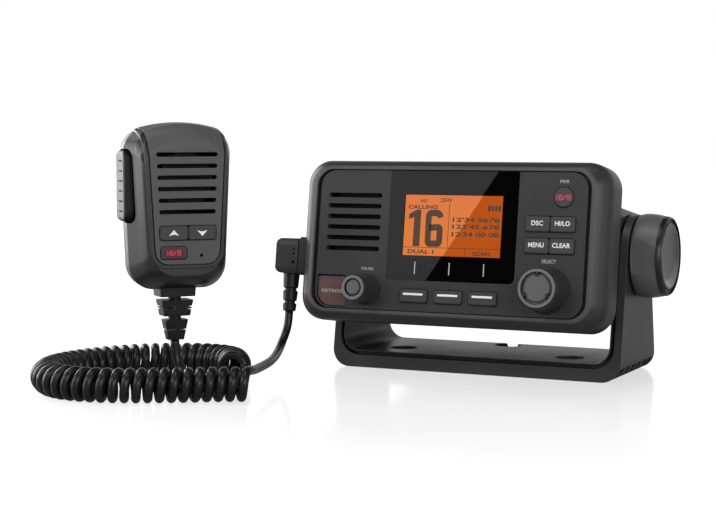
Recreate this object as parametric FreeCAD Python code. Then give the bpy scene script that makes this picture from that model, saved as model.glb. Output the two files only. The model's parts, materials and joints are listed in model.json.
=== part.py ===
"""Fixed-mount VHF marine radio with its U bracket, fist microphone and curly cord.

Millimetres, +X right, +Y to the rear, +Z up. The origin is the centre of the bracket's underside.
The radio head is drawn in its own panel frame, whose origin is the centre of the front panel's face,
and then tilts back on the bracket. The microphone is drawn about the axis of its cord, with z = 0 at
the bottom of its case, and then turns to its place beside the radio.
"""
import FreeCAD
import Part
import math
import os
from FreeCAD import Placement, Rotation, Vector

# ---- bracket
BRACKET_DEPTH = 65.8       # of the base, front to rear
ARM_T = 6.5
BASE_T = 9.2
ARM_END_R = 21.5           # round end of an arm, about the tilt axis
BEND_OUTER_R = 10.0
BEND_INNER_R = 8.5
ARM_RAKE = 0.17            # how far an arm's front edge leans back, per mm of height
REVEAL_W = 2.0             # groove that follows the inner edge of the bracket's front
REVEAL_LIP = 0.5
REVEAL_DEPTH = 5.0
PIVOT_Z = 64.0             # tilt axis above the floor
BASE_SCREW_R = 2.75
BASE_SCREW_HEAD_R = 7.6
BASE_SCREW_HEAD_DEPTH = 3.2
BASE_SCREW_SPACING = 97.0
BASE_SCREW_FRONT_Y = -11.5
BASE_SCREW_REAR_Y = 24.5
CORNER_RIB_W = 2.2         # ribs across the cored-out lower corners
CORNER_RIB_PITCH = 10.5
CORNER_CORE_R = 7.0

# ---- head
TILT = 8.44                # degrees, leaning back
PIVOT_DEPTH = 66.2         # tilt axis behind the panel's face
PIVOT_RISE = 0.9           # tilt axis above the panel's centre
PANEL_W = 148.0
PANEL_H = 73.0
PANEL_R = 8.5
PANEL_T = 4.0
PANEL_GAP = 0.45           # groove between the panel and the bezel, above and below
PANEL_GAP_SIDE = 2.1       # and at the sides
PANEL_FLANGE = 3.3         # of the panel behind the bezel's lip, at the sides
FLANGE_R = 11.2
BEZEL_W = PANEL_W + 22.0
BEZEL_TOP = PANEL_H / 2 + 5.9
BEZEL_BOTTOM = -PANEL_H / 2 - 6.65
BEZEL_R = 13.0
BEZEL_DEPTH = 21.3
BEZEL_WALL = 2.6
BEZEL_LIP_T = 2.6
CREST_W = 1.5              # flat crest round the panel
CREST_PROUD = 0.6
DOME_DEPTH = 9.5           # where the bezel is widest, behind the panel's face
DOME_POWER = 2.7           # how quickly it falls away from the crest
DOME_STEPS = (0.0, 0.08, 0.18, 0.3, 0.46, 0.68, 1.0)
GASKET_T = 1.2
SEAT_FIT = 0.2             # round the gasket and the flange in the bezel's rear
GASKET_W = 4.0
HOUSING_FLANGE_T = 4.3
HOUSING_W = 146.8
HOUSING_TOP = 27.4
HOUSING_BOTTOM = -35.1
HOUSING_R = 8.0
HOUSING_WALL = 3.0
HOUSING_REAR = 116.0       # outer face of the rear wall, behind the panel's face
FIN_DEPTH = 8.0
FIN_T = 2.0
FIN_PITCH = 6.4
SEAT_R = 15.0              # bare round seats for the connectors on the finned rear wall
ANTENNA = (38.0, 2.0)      # across and up from the panel's centre
ANTENNA_R = 7.9
ANTENNA_L = 15.0
ANTENNA_BORE_R = 5.6
ANTENNA_CONTACT_R = 2.4
ANTENNA_CONTACT_WALL = 0.7
ANTENNA_COLLAR = 4.6       # width of its flange
POWER = (-36.0, 0.0)
POWER_R = 9.0
POWER_L = 11.0
POWER_WALL = 1.8
POWER_FLOOR = 1.0          # floor of the socket, behind the rear wall
POWER_KEY = 0.9            # half of the key's height
POWER_PIN_R = 0.7
POWER_PIN_PITCH = 7.6
POWER_PIN_SHORT = 2.5      # pins end this far inside the socket's mouth
CONNECTOR_FLANGE_T = 2.2
CONNECTOR_INSIDE = 3.0     # reach of a connector behind the rear wall
BOARD_Z = -14.0
BOARD_HALF = HOUSING_W / 2 - 13.4
BOARD_Y = (BEZEL_DEPTH + 10.7, HOUSING_REAR - 10.0)
BOARD_POSTS_X = BOARD_HALF - 10.0
BOARD_POSTS_Y = (BOARD_Y[0] + 8.0, BOARD_Y[1] - 8.0)
BOARD_POST_R = 3.5
SHIELD_H = 9.0
SHIELD_IN = 16.0           # from the board's left edge
SHIELD_W = 42.0
SHIELD_X = (-BOARD_HALF + SHIELD_IN, -BOARD_HALF + SHIELD_IN + SHIELD_W)
SHIELD_Y = (BOARD_Y[0] + 14.0, BOARD_Y[1] - 12.0)
SHIELD_HOLE_R = 1.5
SHIELD_HOLES = (5, 4)
SCREW_R = 2.0
SCREW_HEAD_R = 3.6
SCREW_HEAD_SINK = 1.6
SCREW_HEAD_T = 2.4
SCREW_HEAD_FIT = 0.2
SCREW_SLOT = (3.2, 1.0)    # cross recess, long and short
SCREW_BOSS_R = 4.8
SCREW_INSET = 8.0
HOUSING_FIN_INSET = 3.0

WINDOW_X = (-PANEL_W / 2 + 40.6, PANEL_W / 2 - 36.2)
WINDOW_BOTTOM = -PANEL_H / 2 + 15.9
WINDOW_R = 3.0
LENS_T = 1.2
LCD_SIDE = 8.4             # between the display and the window's sides
LCD_X = (WINDOW_X[0] + LCD_SIDE, WINDOW_X[1] - LCD_SIDE)
LCD_Z = (-7.5, 24.1)
LCD_BORDER = 3.0
SLOT_X = (-PANEL_W / 2 + 4.8, -PANEL_W / 2 + 35.8)
SLOT_TOP_Z = PANEL_H / 2 - 13.3
SLOT_PITCH = 5.62
SLOT_H = 2.4
SLOT_COUNT = 6
SPEAKER_R = 18.6
SPEAKER_RIM = 2.4
SPEAKER_BASKET_R = 12.0    # where the basket meets the magnet
SPEAKER_BASKET_L = 8.0
MAGNET_R = 11.0
MAGNET_L = 15.0

KEY_FIT = 0.3              # gap round each key
KEY_R = 1.2
KEY_TRAVEL = 0.8
KEY_FLANGE = 0.9
KEY_FLANGE_T = 0.8
PCB_FACE = 9.0             # front face of the key board, behind the panel's face
PCB_T = 1.6
SOFT_KEY_W = 15.4
SOFT_KEY_H = 6.8
SOFT_KEY_Z = -PANEL_H / 2 + 7.9
SOFT_KEY_PROUD = 1.3
SOFT_KEYS = {"soft_key_left": -16.8, "soft_key_middle": 2.5, "soft_key_right": 21.5}
MENU_KEY_W = 13.1
MENU_KEY_H = 7.8
MENU_KEY_SPLIT_X = PANEL_W / 2 - 18.7
MENU_KEY_PROUD = 1.1
MENU_ROWS_Z = (10.2, -0.8)
CHANNEL_KEY_X = PANEL_W / 2 - 12.4
CHANNEL_KEY_Z = PANEL_H / 2 - 12.6
CHANNEL_KEY_R = 5.1
CHANNEL_KEY_PROUD = 0.9

VOLUME_X = -PANEL_W / 2 + 29.5
VOLUME_Z = -PANEL_H / 2 + 10.3
VOLUME_BASE_R = 8.2
VOLUME_FACE_R = 6.3
VOLUME_LENGTH = 15.2
VOLUME_RING_R = 4.75
VOLUME_BUTTON_R = 3.75
SELECT_X = PANEL_W / 2 - 18.5
SELECT_Z = -PANEL_H / 2 + 13.7
SELECT_BASE_R = 11.8
SELECT_FACE_R = 9.6
SELECT_LENGTH = 15.6
SELECT_RING_R = 8.2
SELECT_BUTTON_R = 6.7
KNOB_GAP = 0.5             # between a knob and the panel
BUTTON_TRAVEL = 0.8
BUTTON_FIT = 0.12
SHAFT_R = 3.0
SHAFT_FIT = 0.05
SHAFT_HOLE_FIT = 0.9       # round the encoder's bush in the panel
ENCODER_W = 12.0

# the distress key's pocket fills the panel's lower left corner
POCKET_X = -PANEL_W / 2 + 17.8
POCKET_TOP = -PANEL_H / 2 + 17.3
POCKET_WALL = 0.8
POCKET_DEPTH = 6.0
POCKET_FLOOR_T = 1.2
COVER_FIT = 0.4
COVER_T = 1.5
COVER_SET_BACK = 0.9
HINGE_R = 1.1
HINGE_PIN_R = 0.5
HINGE_FIT = 0.06
HINGE_PIN_INSET = 0.2      # of the pin's left end from the panel's edge
HINGE_PIN_OVER = 2.0       # into the panel, right of the pocket
DISTRESS_W = 10.0
DISTRESS_H = 8.0

# ---- clamp knobs and what they turn in
DISC_T = 2.2
DISC_GAP = 0.3
DISC_TEETH = 30
DISC_TOOTH_DEPTH = 1.0
CLAMP_R = 22.2             # where the barrel is thickest
CLAMP_INNER_R = 21.4
CLAMP_OUTER_R = 21.0
CLAMP_BULGE = 0.3          # thickest at this share of the barrel's length
CLAMP_GAP = 0.8            # between an arm and its knob
CLAMP_BOSS_R = 9.0         # boss round the stud, which bears on the arm
CLAMP_BOSS_GAP = 0.2
CLAMP_T = 16.3
CLAMP_EDGE = 0.8           # rounded edge next to the arm
CLAMP_SHOULDER = (1.4, 3.0)  # rounded outer shoulder, across and along the axis
CLAMP_RING_DEPTH = 1.2     # dark ring round the cap
CLAMP_CAP_R = 17.5
CLAMP_CAP_T = 3.0
CLAMP_CAP_SINK = 0.2       # of the cap's rim below the knob's end
CLAMP_CAP_DISH = 1.5
CLAMP_GRIPS = 3
CLAMP_GRIP_W = 18.0
STUD_R = 3.0
STUD_LOOSE = 0.35
STUD_FIT = 0.05
INSERT_R = 5.5
INSERT_L = 14.0
BOSS_R = 9.5
BOSS_T = 2.0               # wall of a boss behind its insert

# ---- microphone plug on the side of the head
SOCKET_FRONT = 2.9         # front face of the socket and plug, behind the panel's face
SOCKET_Z = -9.6
SOCKET_H = 20.4
SOCKET_DEPTH = 15.0
SOCKET_OUT = BEZEL_W / 2 + 1.8  # outer end of the socket, from the panel's centre
SOCKET_CHAMFER = 2.4
PLUG_NECK = 0.9
PLUG_W = 13.2
PLUG_H = 19.2
PLUG_R = 3.0
PLUG_HOLES = ((3.4, 0.6), (1.1, 0.6), (-3.5, 0.95))  # above the plug's middle, radius
PLUG_HOLE_X = 2.4
PLUG_HOLE_DEPTH = 1.6
PLUG_TRIM = 0.2            # the plug is this much smaller than the socket all round
RELIEF_L = 20.3
RELIEF_TOP_R = 4.5
RELIEF_END_R = 3.5
RELIEF_WAIST = 0.9
RELIEF_WAISTS = (0.42, 0.76)  # where its waists are, as shares of its length

# ---- cord
WIRE_D = 4.6
COIL_D = 17.4

# ---- microphone
MIC_X = -110.0
MIC_Y = -150.0
MIC_BASE_Z = 51.7
MIC_YAW = 49.5
MIC_H = 81.6
MIC_HALF_W = 27.4
MIC_TAPER = 2.4            # how much narrower each side is near the bottom
MIC_CORNER_R = 12.5        # upper corners
MIC_CORNER_TURN = 80.0     # degrees that an upper corner turns before the crown takes over
MIC_CROWN = 2.1            # rise of the crown between the upper corners
MIC_CHIN_R = 12.5          # lower corners
MIC_FRONT = -18.2
MIC_WIDEST = -2.0
MIC_REAR = 14.0
MIC_WALL = 2.2
FACE_PROUD = 0.6
FACE_T = 1.8
FACE_TOP_HALF = 18.9
FACE_BOTTOM_HALF = 15.9
FACE_BOTTOM = 13.3
FACE_R = 6.0
FACE_FRAME = 2.0
FACE_GROOVE = 0.5
MIC_SLOT_TOP = 66.5
MIC_SLOT_PITCH = 5.56
MIC_SLOT_H = 2.1
MIC_SLOT_HALF = 15.6
MIC_KEY_ROW_Z = (25.0, 31.9)
MIC_KEY_X = (-14.2, 14.3)
MIC_CALL_KEY_X = (-13.8, -0.6)
MIC_CALL_KEY_Z = (15.9, 21.9)
MIC_HOLE = (6.8, 17.3)
MIC_HOLE_R = 0.8
MIC_KEY_PROUD = 0.7
MIC_KEY_R = 1.4
MIC_SCREW_R = 1.3
MIC_SCREW_HEAD_R = 2.7
MIC_SCREW_SINK = 1.8
MIC_SCREW_OUT = 15.0       # of the lower two, from the middle
MIC_SCREW_IN = 12.0        # from the case's top and bottom
MIC_POST_ROUND = 3.4       # radius of the posts that take the screws
MIC_PCB_FACE = 7.0         # front face of its board, behind the case's front
MIC_BOARD_CLEAR = 5.0      # between its board and the case's walls
MIC_POST_R = 1.0
MIC_SPEAKER_R = 13.5
MIC_SPEAKER_RIM = 1.5
MIC_MAGNET_R = 8.0
MIC_MAGNET_L = 9.5
PTT_Z = (33.6, 68.6)
PTT_Y = (-5.0, 7.4)
PTT_OUT = 28.2
PTT_DEPTH = 7.0
PTT_ROUND = 4.5            # round ends, seen from the side
PTT_FIT = 0.6
PTT_RECESS_FRONT = 4.6
PTT_RECESS_CORNER = 3.0
PTT_WELL_WALL = 1.6
PTT_HINGE_RISE = 5.2       # hinge pin above the lever's lower end
PTT_HINGE_R = 0.8
PTT_HINGE_IN = 2.6         # hinge pin behind the lever's face
PTT_HINGE_PROUD = 0.3
PTT_STEM = (4.0, 6.2)      # switch stem behind the lever's face
PTT_CORNER = 2.4
PTT_DOTS = 6
PTT_DOT_R = 0.6
PTT_DOT_PITCH = 4.9
PTT_DOT_FORWARD = 2.4
HANGER_R = 8.0
HANGER_NECK_R = 5.0
HANGER_L = 6.5
HANGER_Z = 50.6
MIC_RELIEF_Y = 4.0         # the cord leaves behind the case's widest section
MIC_RELIEF_L = 26.0
MIC_RELIEF_BLOCKS = (      # top, bottom, half width at the top and at the bottom
    (-2.2, 4.1, 9.4, 9.0),
    (6.0, 13.9, 8.2, 6.8),
    (15.9, 26.0, 6.0, 4.1),
)
MIC_RELIEF_SLITS = ((9.3, 8.6), (10.6, 8.4), (21.0, 6.0))
MIC_RELIEF_SLIT_H = 0.7
MIC_RELIEF_CORE = 0.12     # share of a slit's width that stays solid in the middle
MIC_RELIEF_NECK = 3.2
MIC_RELIEF_FLAT = 0.8      # depth of the strain relief over its width

# ---- worked out from the sizes above
BRACKET_W = HOUSING_W + 2 * (DISC_T + DISC_GAP + ARM_T)

PARTS = {}


# ---- shapes that several pieces share
def box(x0, x1, y0, y1, z0, z1):
    return Part.makeBox(x1 - x0, y1 - y0, z1 - z0, Vector(x0, y0, z0))


def cylinder(radius, start, end):
    start, end = Vector(*start), Vector(*end)
    return Part.makeCylinder(radius, (end - start).Length, start, end - start)


def outline(x0, x1, z0, z1, radii, y):
    """Closed wire in the plane at y: a rectangle with round corners (bottom, top)."""
    bottom, top = radii
    near = 1 - math.sqrt(0.5)
    corners = (
        ((x1 - bottom, z0), (x1 - bottom * near, z0 + bottom * near), (x1, z0 + bottom)),
        ((x1, z1 - top), (x1 - top * near, z1 - top * near), (x1 - top, z1)),
        ((x0 + top, z1), (x0 + top * near, z1 - top * near), (x0, z1 - top)),
        ((x0, z0 + bottom), (x0 + bottom * near, z0 + bottom * near), (x0 + bottom, z0)),
    )
    edges = []
    for i, corner in enumerate(corners):
        points = [Vector(x, y, z) for x, z in corner]
        following = Vector(corners[(i + 1) % 4][0][0], y, corners[(i + 1) % 4][0][1])
        edges.append(Part.Arc(*points).toShape())
        edges.append(Part.LineSegment(points[2], following).toShape())
    return Part.Wire(edges)


def slab(x0, x1, z0, z1, radii, y0, y1):
    """Plate that lies in XZ, from y0 to y1, with round corners (bottom, top)."""
    return Part.Face(outline(x0, x1, z0, z1, radii, y0)).extrude(Vector(0, y1 - y0, 0))


def side_slab(y0, y1, z0, z1, radius, x0, x1):
    """Plate that lies in YZ, from x0 to x1, with round corners."""
    plate = slab(y0, y1, z0, z1, (radius, radius), -x1, -x0)
    plate.rotate(Vector(0, 0, 0), Vector(0, 0, 1), 90)
    return plate


def bar(x0, x1, z0, z1, y0, y1):
    """Plate in XZ whose ends are half round."""
    radius = (z1 - z0) / 2 - 0.01
    return slab(x0, x1, z0, z1, (radius, radius), y0, y1)


def turned(profile, origin, direction):
    """Solid of revolution from (radius, distance along the axis) points."""
    points = [Vector(r, 0, h) for r, h in profile]
    face = Part.Face(Part.makePolygon(points + points[:1]))
    solid = face.revolve(Vector(0, 0, 0), Vector(0, 0, 1), 360)
    turn = Rotation(Vector(0, 0, 1), Vector(*direction))
    solid.Placement = Placement(Vector(*origin), turn)
    return solid


def bevelled(x0, x1, z0, z1, radius, y_face, y_back, bevel=0.5):
    """Key top: a slab whose front edge at y_face is bevelled all round."""
    front = outline(x0 + bevel, x1 - bevel, z0 + bevel, z1 - bevel,
                    (radius - bevel / 2, radius - bevel / 2), y_face)
    shoulder = outline(x0, x1, z0, z1, (radius, radius), y_face + bevel)
    back = outline(x0, x1, z0, z1, (radius, radius), y_back)
    return Part.makeLoft([front, shoulder, back], True, True)


def place_head(shape):
    """From the panel frame to the row frame."""
    placed = shape.copy()
    placed.translate(Vector(0, -PIVOT_DEPTH, -PIVOT_RISE))
    placed.rotate(Vector(0, 0, 0), Vector(1, 0, 0), -TILT)
    placed.translate(Vector(0, 0, PIVOT_Z))
    return placed


def head_point(x, y, z):
    """A point of the panel frame, in the row frame."""
    turn = Rotation(Vector(1, 0, 0), -TILT)
    return turn.multVec(Vector(x, y - PIVOT_DEPTH, z - PIVOT_RISE)) + Vector(0, 0, PIVOT_Z)


def place_mic(shape):
    placed = shape.copy()
    placed.rotate(Vector(0, 0, 0), Vector(0, 0, 1), MIC_YAW)
    placed.translate(Vector(MIC_X, MIC_Y, MIC_BASE_Z))
    return placed


def mirrored(shape):
    return shape.mirror(Vector(0, 0, 0), Vector(1, 0, 0))


def add_head(name, shape):
    PARTS[name] = place_head(shape)


def add_mic(name, shape):
    PARTS[name] = place_mic(shape)


# ---- bracket
def bracket_profile(grow, y0, y1):
    """U-shaped hollow of the bracket, grown by grow, as a solid between y0 and y1."""
    half = BRACKET_W / 2 - ARM_T + grow
    radius = BEND_INNER_R + grow
    return slab(-half, half, BASE_T - grow, 3 * PIVOT_Z, (radius, radius), y0, y1)


def arm_side(depth_in, y_reach):
    """Side view of the bracket, extruded across it: raked edges and round arm ends."""
    half = BRACKET_DEPTH / 2
    front_low = Vector(0, -half + depth_in, 0)
    rear_low = Vector(0, half, 0)
    centre = Vector(0, 0, PIVOT_Z)

    def tangent(low, side):
        """Where the straight edge from low meets the round end."""
        reach = centre - low
        angle = math.atan2(reach.z, reach.y) + side * math.asin((ARM_END_R - depth_in) / reach.Length)
        length = math.sqrt(reach.Length ** 2 - (ARM_END_R - depth_in) ** 2)
        return low + Vector(0, math.cos(angle), math.sin(angle)) * length

    front_top, rear_top = tangent(front_low, 1), tangent(rear_low, -1)
    crown = centre + Vector(0, 0, ARM_END_R - depth_in)
    wire = Part.Wire([
        Part.LineSegment(front_low, rear_low).toShape(),
        Part.LineSegment(rear_low, rear_top).toShape(),
        Part.Arc(rear_top, crown, front_top).toShape(),
        Part.LineSegment(front_top, front_low).toShape(),
    ])
    solid = Part.Face(wire).extrude(Vector(2 * y_reach, 0, 0))
    solid.translate(Vector(-y_reach, 0, 0))
    return solid


def make_bracket():
    half, deep = BRACKET_W / 2, BRACKET_DEPTH
    outer = slab(-half, half, 0, 2 * PIVOT_Z, (BEND_OUTER_R, BEND_OUTER_R), -deep, deep)
    body = outer.cut(bracket_profile(0, -2 * deep, 2 * deep))
    body = body.common(arm_side(0, BRACKET_W))
    # shadow groove that follows the inner edge of the front face
    band = bracket_profile(REVEAL_LIP + REVEAL_W, -deep, 0).cut(bracket_profile(REVEAL_LIP, -deep, 0))
    body = body.cut(band.cut(arm_side(REVEAL_DEPTH, BRACKET_W)))
    # the lower outer corners are cored out between ribs
    core_half = BRACKET_DEPTH / 2 - CORNER_RIB_W
    ribs = int(2 * core_half // CORNER_RIB_PITCH)
    for side in (-1, 1):
        core = cylinder(CORNER_CORE_R, (side * half, -core_half, 0), (side * half, core_half, 0))
        for i in range(1, ribs + 1):
            y = -core_half + 2 * core_half * i / (ribs + 1)
            core = core.cut(box(-BRACKET_W, BRACKET_W, y - CORNER_RIB_W / 2, y + CORNER_RIB_W / 2,
                                -BASE_T, 2 * BASE_T))
        body = body.cut(core)
    spots = [(-BASE_SCREW_SPACING / 2, BASE_SCREW_FRONT_Y), (BASE_SCREW_SPACING / 2, BASE_SCREW_FRONT_Y),
             (0, BASE_SCREW_REAR_Y)]
    for x, y in spots:
        seat, above = (x, y, BASE_T - BASE_SCREW_HEAD_DEPTH), (x, y, 2 * BASE_T)
        body = body.cut(cylinder(BASE_SCREW_R, (x, y, -1), above))
        body = body.cut(cylinder(BASE_SCREW_HEAD_R, seat, above))
    bore = cylinder(STUD_R + STUD_LOOSE, (-BRACKET_W, 0, PIVOT_Z), (BRACKET_W, 0, PIVOT_Z))
    PARTS["mount_bracket"] = body.cut(bore)


def make_tilt_discs():
    """Toothed friction discs on the arms' inner faces."""
    face = BRACKET_W / 2 - ARM_T
    radius = ARM_END_R - 1.0
    disc = cylinder(radius, (face - DISC_T, 0, PIVOT_Z), (face, 0, PIVOT_Z))
    for i in range(DISC_TEETH):
        angle = 2 * math.pi * i / DISC_TEETH
        y, z = radius * math.cos(angle), PIVOT_Z + radius * math.sin(angle)
        disc = disc.cut(cylinder(DISC_TOOTH_DEPTH, (face - 2 * DISC_T, y, z), (face + 1, y, z)))
    disc = disc.cut(cylinder(STUD_R + STUD_LOOSE, (0, 0, PIVOT_Z), (BRACKET_W, 0, PIVOT_Z)))
    PARTS["tilt_discs"] = Part.makeCompound([disc, mirrored(disc)])


# ---- clamp knobs
def clamp_barrel(length):
    """Outer profile of a clamp knob, as (radius, distance) points from its inner end out."""
    across, along = CLAMP_SHOULDER
    points = [(CLAMP_INNER_R - CLAMP_EDGE, 0)]
    for share in (0.05, 0.15, CLAMP_BULGE, 0.5, 0.75, 1.0):
        end_r = CLAMP_INNER_R if share < CLAMP_BULGE else CLAMP_OUTER_R
        reach = CLAMP_BULGE if share < CLAMP_BULGE else 1 - CLAMP_BULGE
        sag = (CLAMP_R - end_r) * ((share - CLAMP_BULGE) / reach) ** 2
        points.append((CLAMP_R - sag, share * (length - along)))
    for angle in (30, 60, 90):
        turn = math.radians(angle)
        points.append((CLAMP_OUTER_R - across * (1 - math.cos(turn)), length - along * (1 - math.sin(turn))))
    return points


def make_clamp(side, name):
    """One clamp knob with its cap and stud; side is 1 on the right and -1 on the left."""
    inner = BRACKET_W / 2 + CLAMP_GAP
    foot = CLAMP_GAP - CLAMP_BOSS_GAP
    outer = foot + CLAMP_T
    seat = outer - CLAMP_CAP_T
    barrel = [(r, foot + h) for r, h in clamp_barrel(CLAMP_T)]
    rim = CLAMP_OUTER_R - CLAMP_SHOULDER[0]
    boss = [(0, 0), (CLAMP_BOSS_R, 0), (CLAMP_BOSS_R, foot)]
    ring = outer - CLAMP_RING_DEPTH
    recess = [(rim, ring), (CLAMP_CAP_R, ring), (CLAMP_CAP_R, seat), (0, seat)]
    knob = turned(boss + barrel + recess, (inner - foot, 0, PIVOT_Z), (1, 0, 0))
    flat = math.sqrt(CLAMP_R ** 2 - (CLAMP_GRIP_W / 2) ** 2)
    for i in range(CLAMP_GRIPS):
        grip = box(inner + CLAMP_EDGE, inner + CLAMP_T - CLAMP_SHOULDER[1], -2 * CLAMP_R, -flat,
                   PIVOT_Z - CLAMP_R, PIVOT_Z + CLAMP_R)
        grip.rotate(Vector(0, 0, PIVOT_Z), Vector(1, 0, 0), 360 * i / CLAMP_GRIPS)
        knob = knob.cut(grip)
    r, top, dish = CLAMP_CAP_R, CLAMP_CAP_T - CLAMP_CAP_SINK, CLAMP_CAP_DISH
    cap = turned([(0, 0), (r, 0), (r, top - 0.4), (r - 0.4, top), (r - 1.2, top),
                  (r * 0.75, top - dish * 0.6), (r / 2, top - dish * 0.9), (0, top - dish)],
                 (inner + CLAMP_T - CLAMP_CAP_T, 0, PIVOT_Z), (1, 0, 0))
    stud_start = HOUSING_W / 2 - INSERT_L + 1.0
    stud = cylinder(STUD_R, (stud_start, 0, PIVOT_Z), (inner + CLAMP_T - CLAMP_CAP_T - 2.0, 0, PIVOT_Z))
    knob = knob.cut(stud)
    for suffix, shape in (("knob", knob), ("cap", cap), ("stud", stud)):
        PARTS["clamp_" + suffix + "_" + name] = shape if side > 0 else mirrored(shape)


# ---- head: bezel, housing and what closes them
def bezel_section(share, y):
    """Outer outline of the bezel at depth y; share is 0 where it is widest and 1 at the crest."""
    def between(widest, crest):
        return widest + (crest - widest) * share

    half = between(BEZEL_W / 2, PANEL_W / 2 + PANEL_GAP_SIDE + CREST_W)
    top = between(BEZEL_TOP, PANEL_H / 2 + PANEL_GAP + CREST_W)
    bottom = between(BEZEL_BOTTOM, -PANEL_H / 2 - PANEL_GAP - CREST_W)
    radius = between(BEZEL_R, PANEL_R + PANEL_GAP + CREST_W)
    return outline(-half, half, bottom, top, (radius, radius), y)


def make_bezel():
    dome = DOME_DEPTH + CREST_PROUD
    sections = [bezel_section((1 - step) ** DOME_POWER, step * dome - CREST_PROUD) for step in DOME_STEPS]
    body = Part.makeLoft(sections + [bezel_section(0, BEZEL_DEPTH)], True, True)
    mouth_x, mouth_z = PANEL_W / 2 + PANEL_GAP_SIDE, PANEL_H / 2 + PANEL_GAP
    mouth_r = PANEL_R + PANEL_GAP
    body = body.cut(slab(-mouth_x, mouth_x, -mouth_z, mouth_z, (mouth_r, mouth_r), -BEZEL_DEPTH, BEZEL_DEPTH))
    hollow_x, hollow_z = PANEL_W / 2 + PANEL_FLANGE + KEY_FIT, PANEL_H / 2 + PANEL_FLANGE / 2 + KEY_FIT
    hollow_r = FLANGE_R + KEY_FIT
    body = body.cut(slab(-hollow_x, hollow_x, -hollow_z, hollow_z, (hollow_r, hollow_r),
                         BEZEL_LIP_T, 2 * BEZEL_DEPTH))
    body = body.cut(seat_block(0, BEZEL_DEPTH - HOUSING_FLANGE_T - GASKET_T, 2 * BEZEL_DEPTH))
    add_head("front_bezel", body.cut(socket_block(0)))


def seat_block(shrink, y0, y1):
    """The recess in the bezel's rear that takes the housing's flange and its gasket."""
    half = BEZEL_W / 2 - BEZEL_WALL - shrink
    radius = BEZEL_R - BEZEL_WALL - shrink
    return slab(-half, half, BEZEL_BOTTOM + BEZEL_WALL + shrink, BEZEL_TOP - BEZEL_WALL - shrink,
                (radius, radius), y0, y1)


def make_gasket():
    front = BEZEL_DEPTH - HOUSING_FLANGE_T - GASKET_T
    ring = seat_block(SEAT_FIT, front, front + GASKET_T)
    add_head("case_gasket", ring.cut(seat_block(GASKET_W, -BEZEL_DEPTH, 2 * BEZEL_DEPTH)))


def housing_block(shrink, y0, y1):
    half = HOUSING_W / 2 - shrink
    radius = HOUSING_R - shrink
    return slab(-half, half, HOUSING_BOTTOM + shrink, HOUSING_TOP - shrink, (radius, radius), y0, y1)


def housing_screw_spots():
    half = HOUSING_W / 2 - SCREW_INSET
    return [(x, z) for x in (-half, half) for z in (HOUSING_BOTTOM + SCREW_INSET, HOUSING_TOP - SCREW_INSET)]


def make_housing_flange():
    """Flange that closes the bezel's rear, open in the middle; the housing's box stands on it."""
    flange = seat_block(SEAT_FIT, BEZEL_DEPTH - HOUSING_FLANGE_T, BEZEL_DEPTH)
    add_head("housing_flange", flange.cut(housing_block(HOUSING_WALL, 0, 2 * BEZEL_DEPTH)))


def make_housing():
    body = housing_block(0, BEZEL_DEPTH, HOUSING_REAR)
    fin_half = HOUSING_W / 2 - HOUSING_R
    count = int(2 * fin_half // FIN_PITCH)
    past_fins = HOUSING_REAR + 2 * FIN_DEPTH
    seats = [cylinder(SEAT_R, (x, HOUSING_REAR, z), (x, past_fins, z)) for x, z in (ANTENNA, POWER)]
    seats += [cylinder(SCREW_BOSS_R, (x, HOUSING_REAR, z), (x, past_fins, z)) for x, z in housing_screw_spots()]
    clear = seats[0].fuse(seats[1:])
    fins = []
    for i in range(count + 1):
        x = (i - count / 2) * FIN_PITCH
        fin = box(x - FIN_T / 2, x + FIN_T / 2, HOUSING_REAR - HOUSING_WALL, HOUSING_REAR + FIN_DEPTH,
                  HOUSING_BOTTOM + HOUSING_FIN_INSET, HOUSING_TOP - HOUSING_FIN_INSET)
        fins.append(fin.cut(clear))
    body = body.fuse(fins)
    body = body.cut(housing_block(HOUSING_WALL, 0, HOUSING_REAR - HOUSING_WALL))
    wall = HOUSING_W / 2
    for side in (-1, 1):
        def at(x):
            """Point of the tilt axis, x from the middle."""
            return (side * x, PIVOT_DEPTH, PIVOT_RISE)
        boss = cylinder(BOSS_R, at(wall - INSERT_L - BOSS_T), at(wall - 1.0))
        body = body.fuse(boss).cut(cylinder(INSERT_R, at(wall - INSERT_L), at(wall + 1.0)))
    for x in (-BOARD_POSTS_X, BOARD_POSTS_X):
        for y in BOARD_POSTS_Y:
            body = body.fuse(cylinder(BOARD_POST_R, (x, y, HOUSING_BOTTOM + 1.0), (x, y, BOARD_Z)))
    inside = HOUSING_REAR - 2 * HOUSING_WALL
    for x, z in housing_screw_spots():
        body = body.cut(cylinder(SCREW_HEAD_R, (x, HOUSING_REAR - SCREW_HEAD_SINK, z), (x, past_fins, z)))
        body = body.cut(cylinder(SCREW_R, (x, inside, z), (x, HOUSING_REAR, z)))
    for (x, z), radius in ((ANTENNA, ANTENNA_R), (POWER, POWER_R)):
        body = body.cut(cylinder(radius, (x, inside, z), (x, HOUSING_REAR + 1, z)))
    add_head("rear_housing", body)


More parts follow.
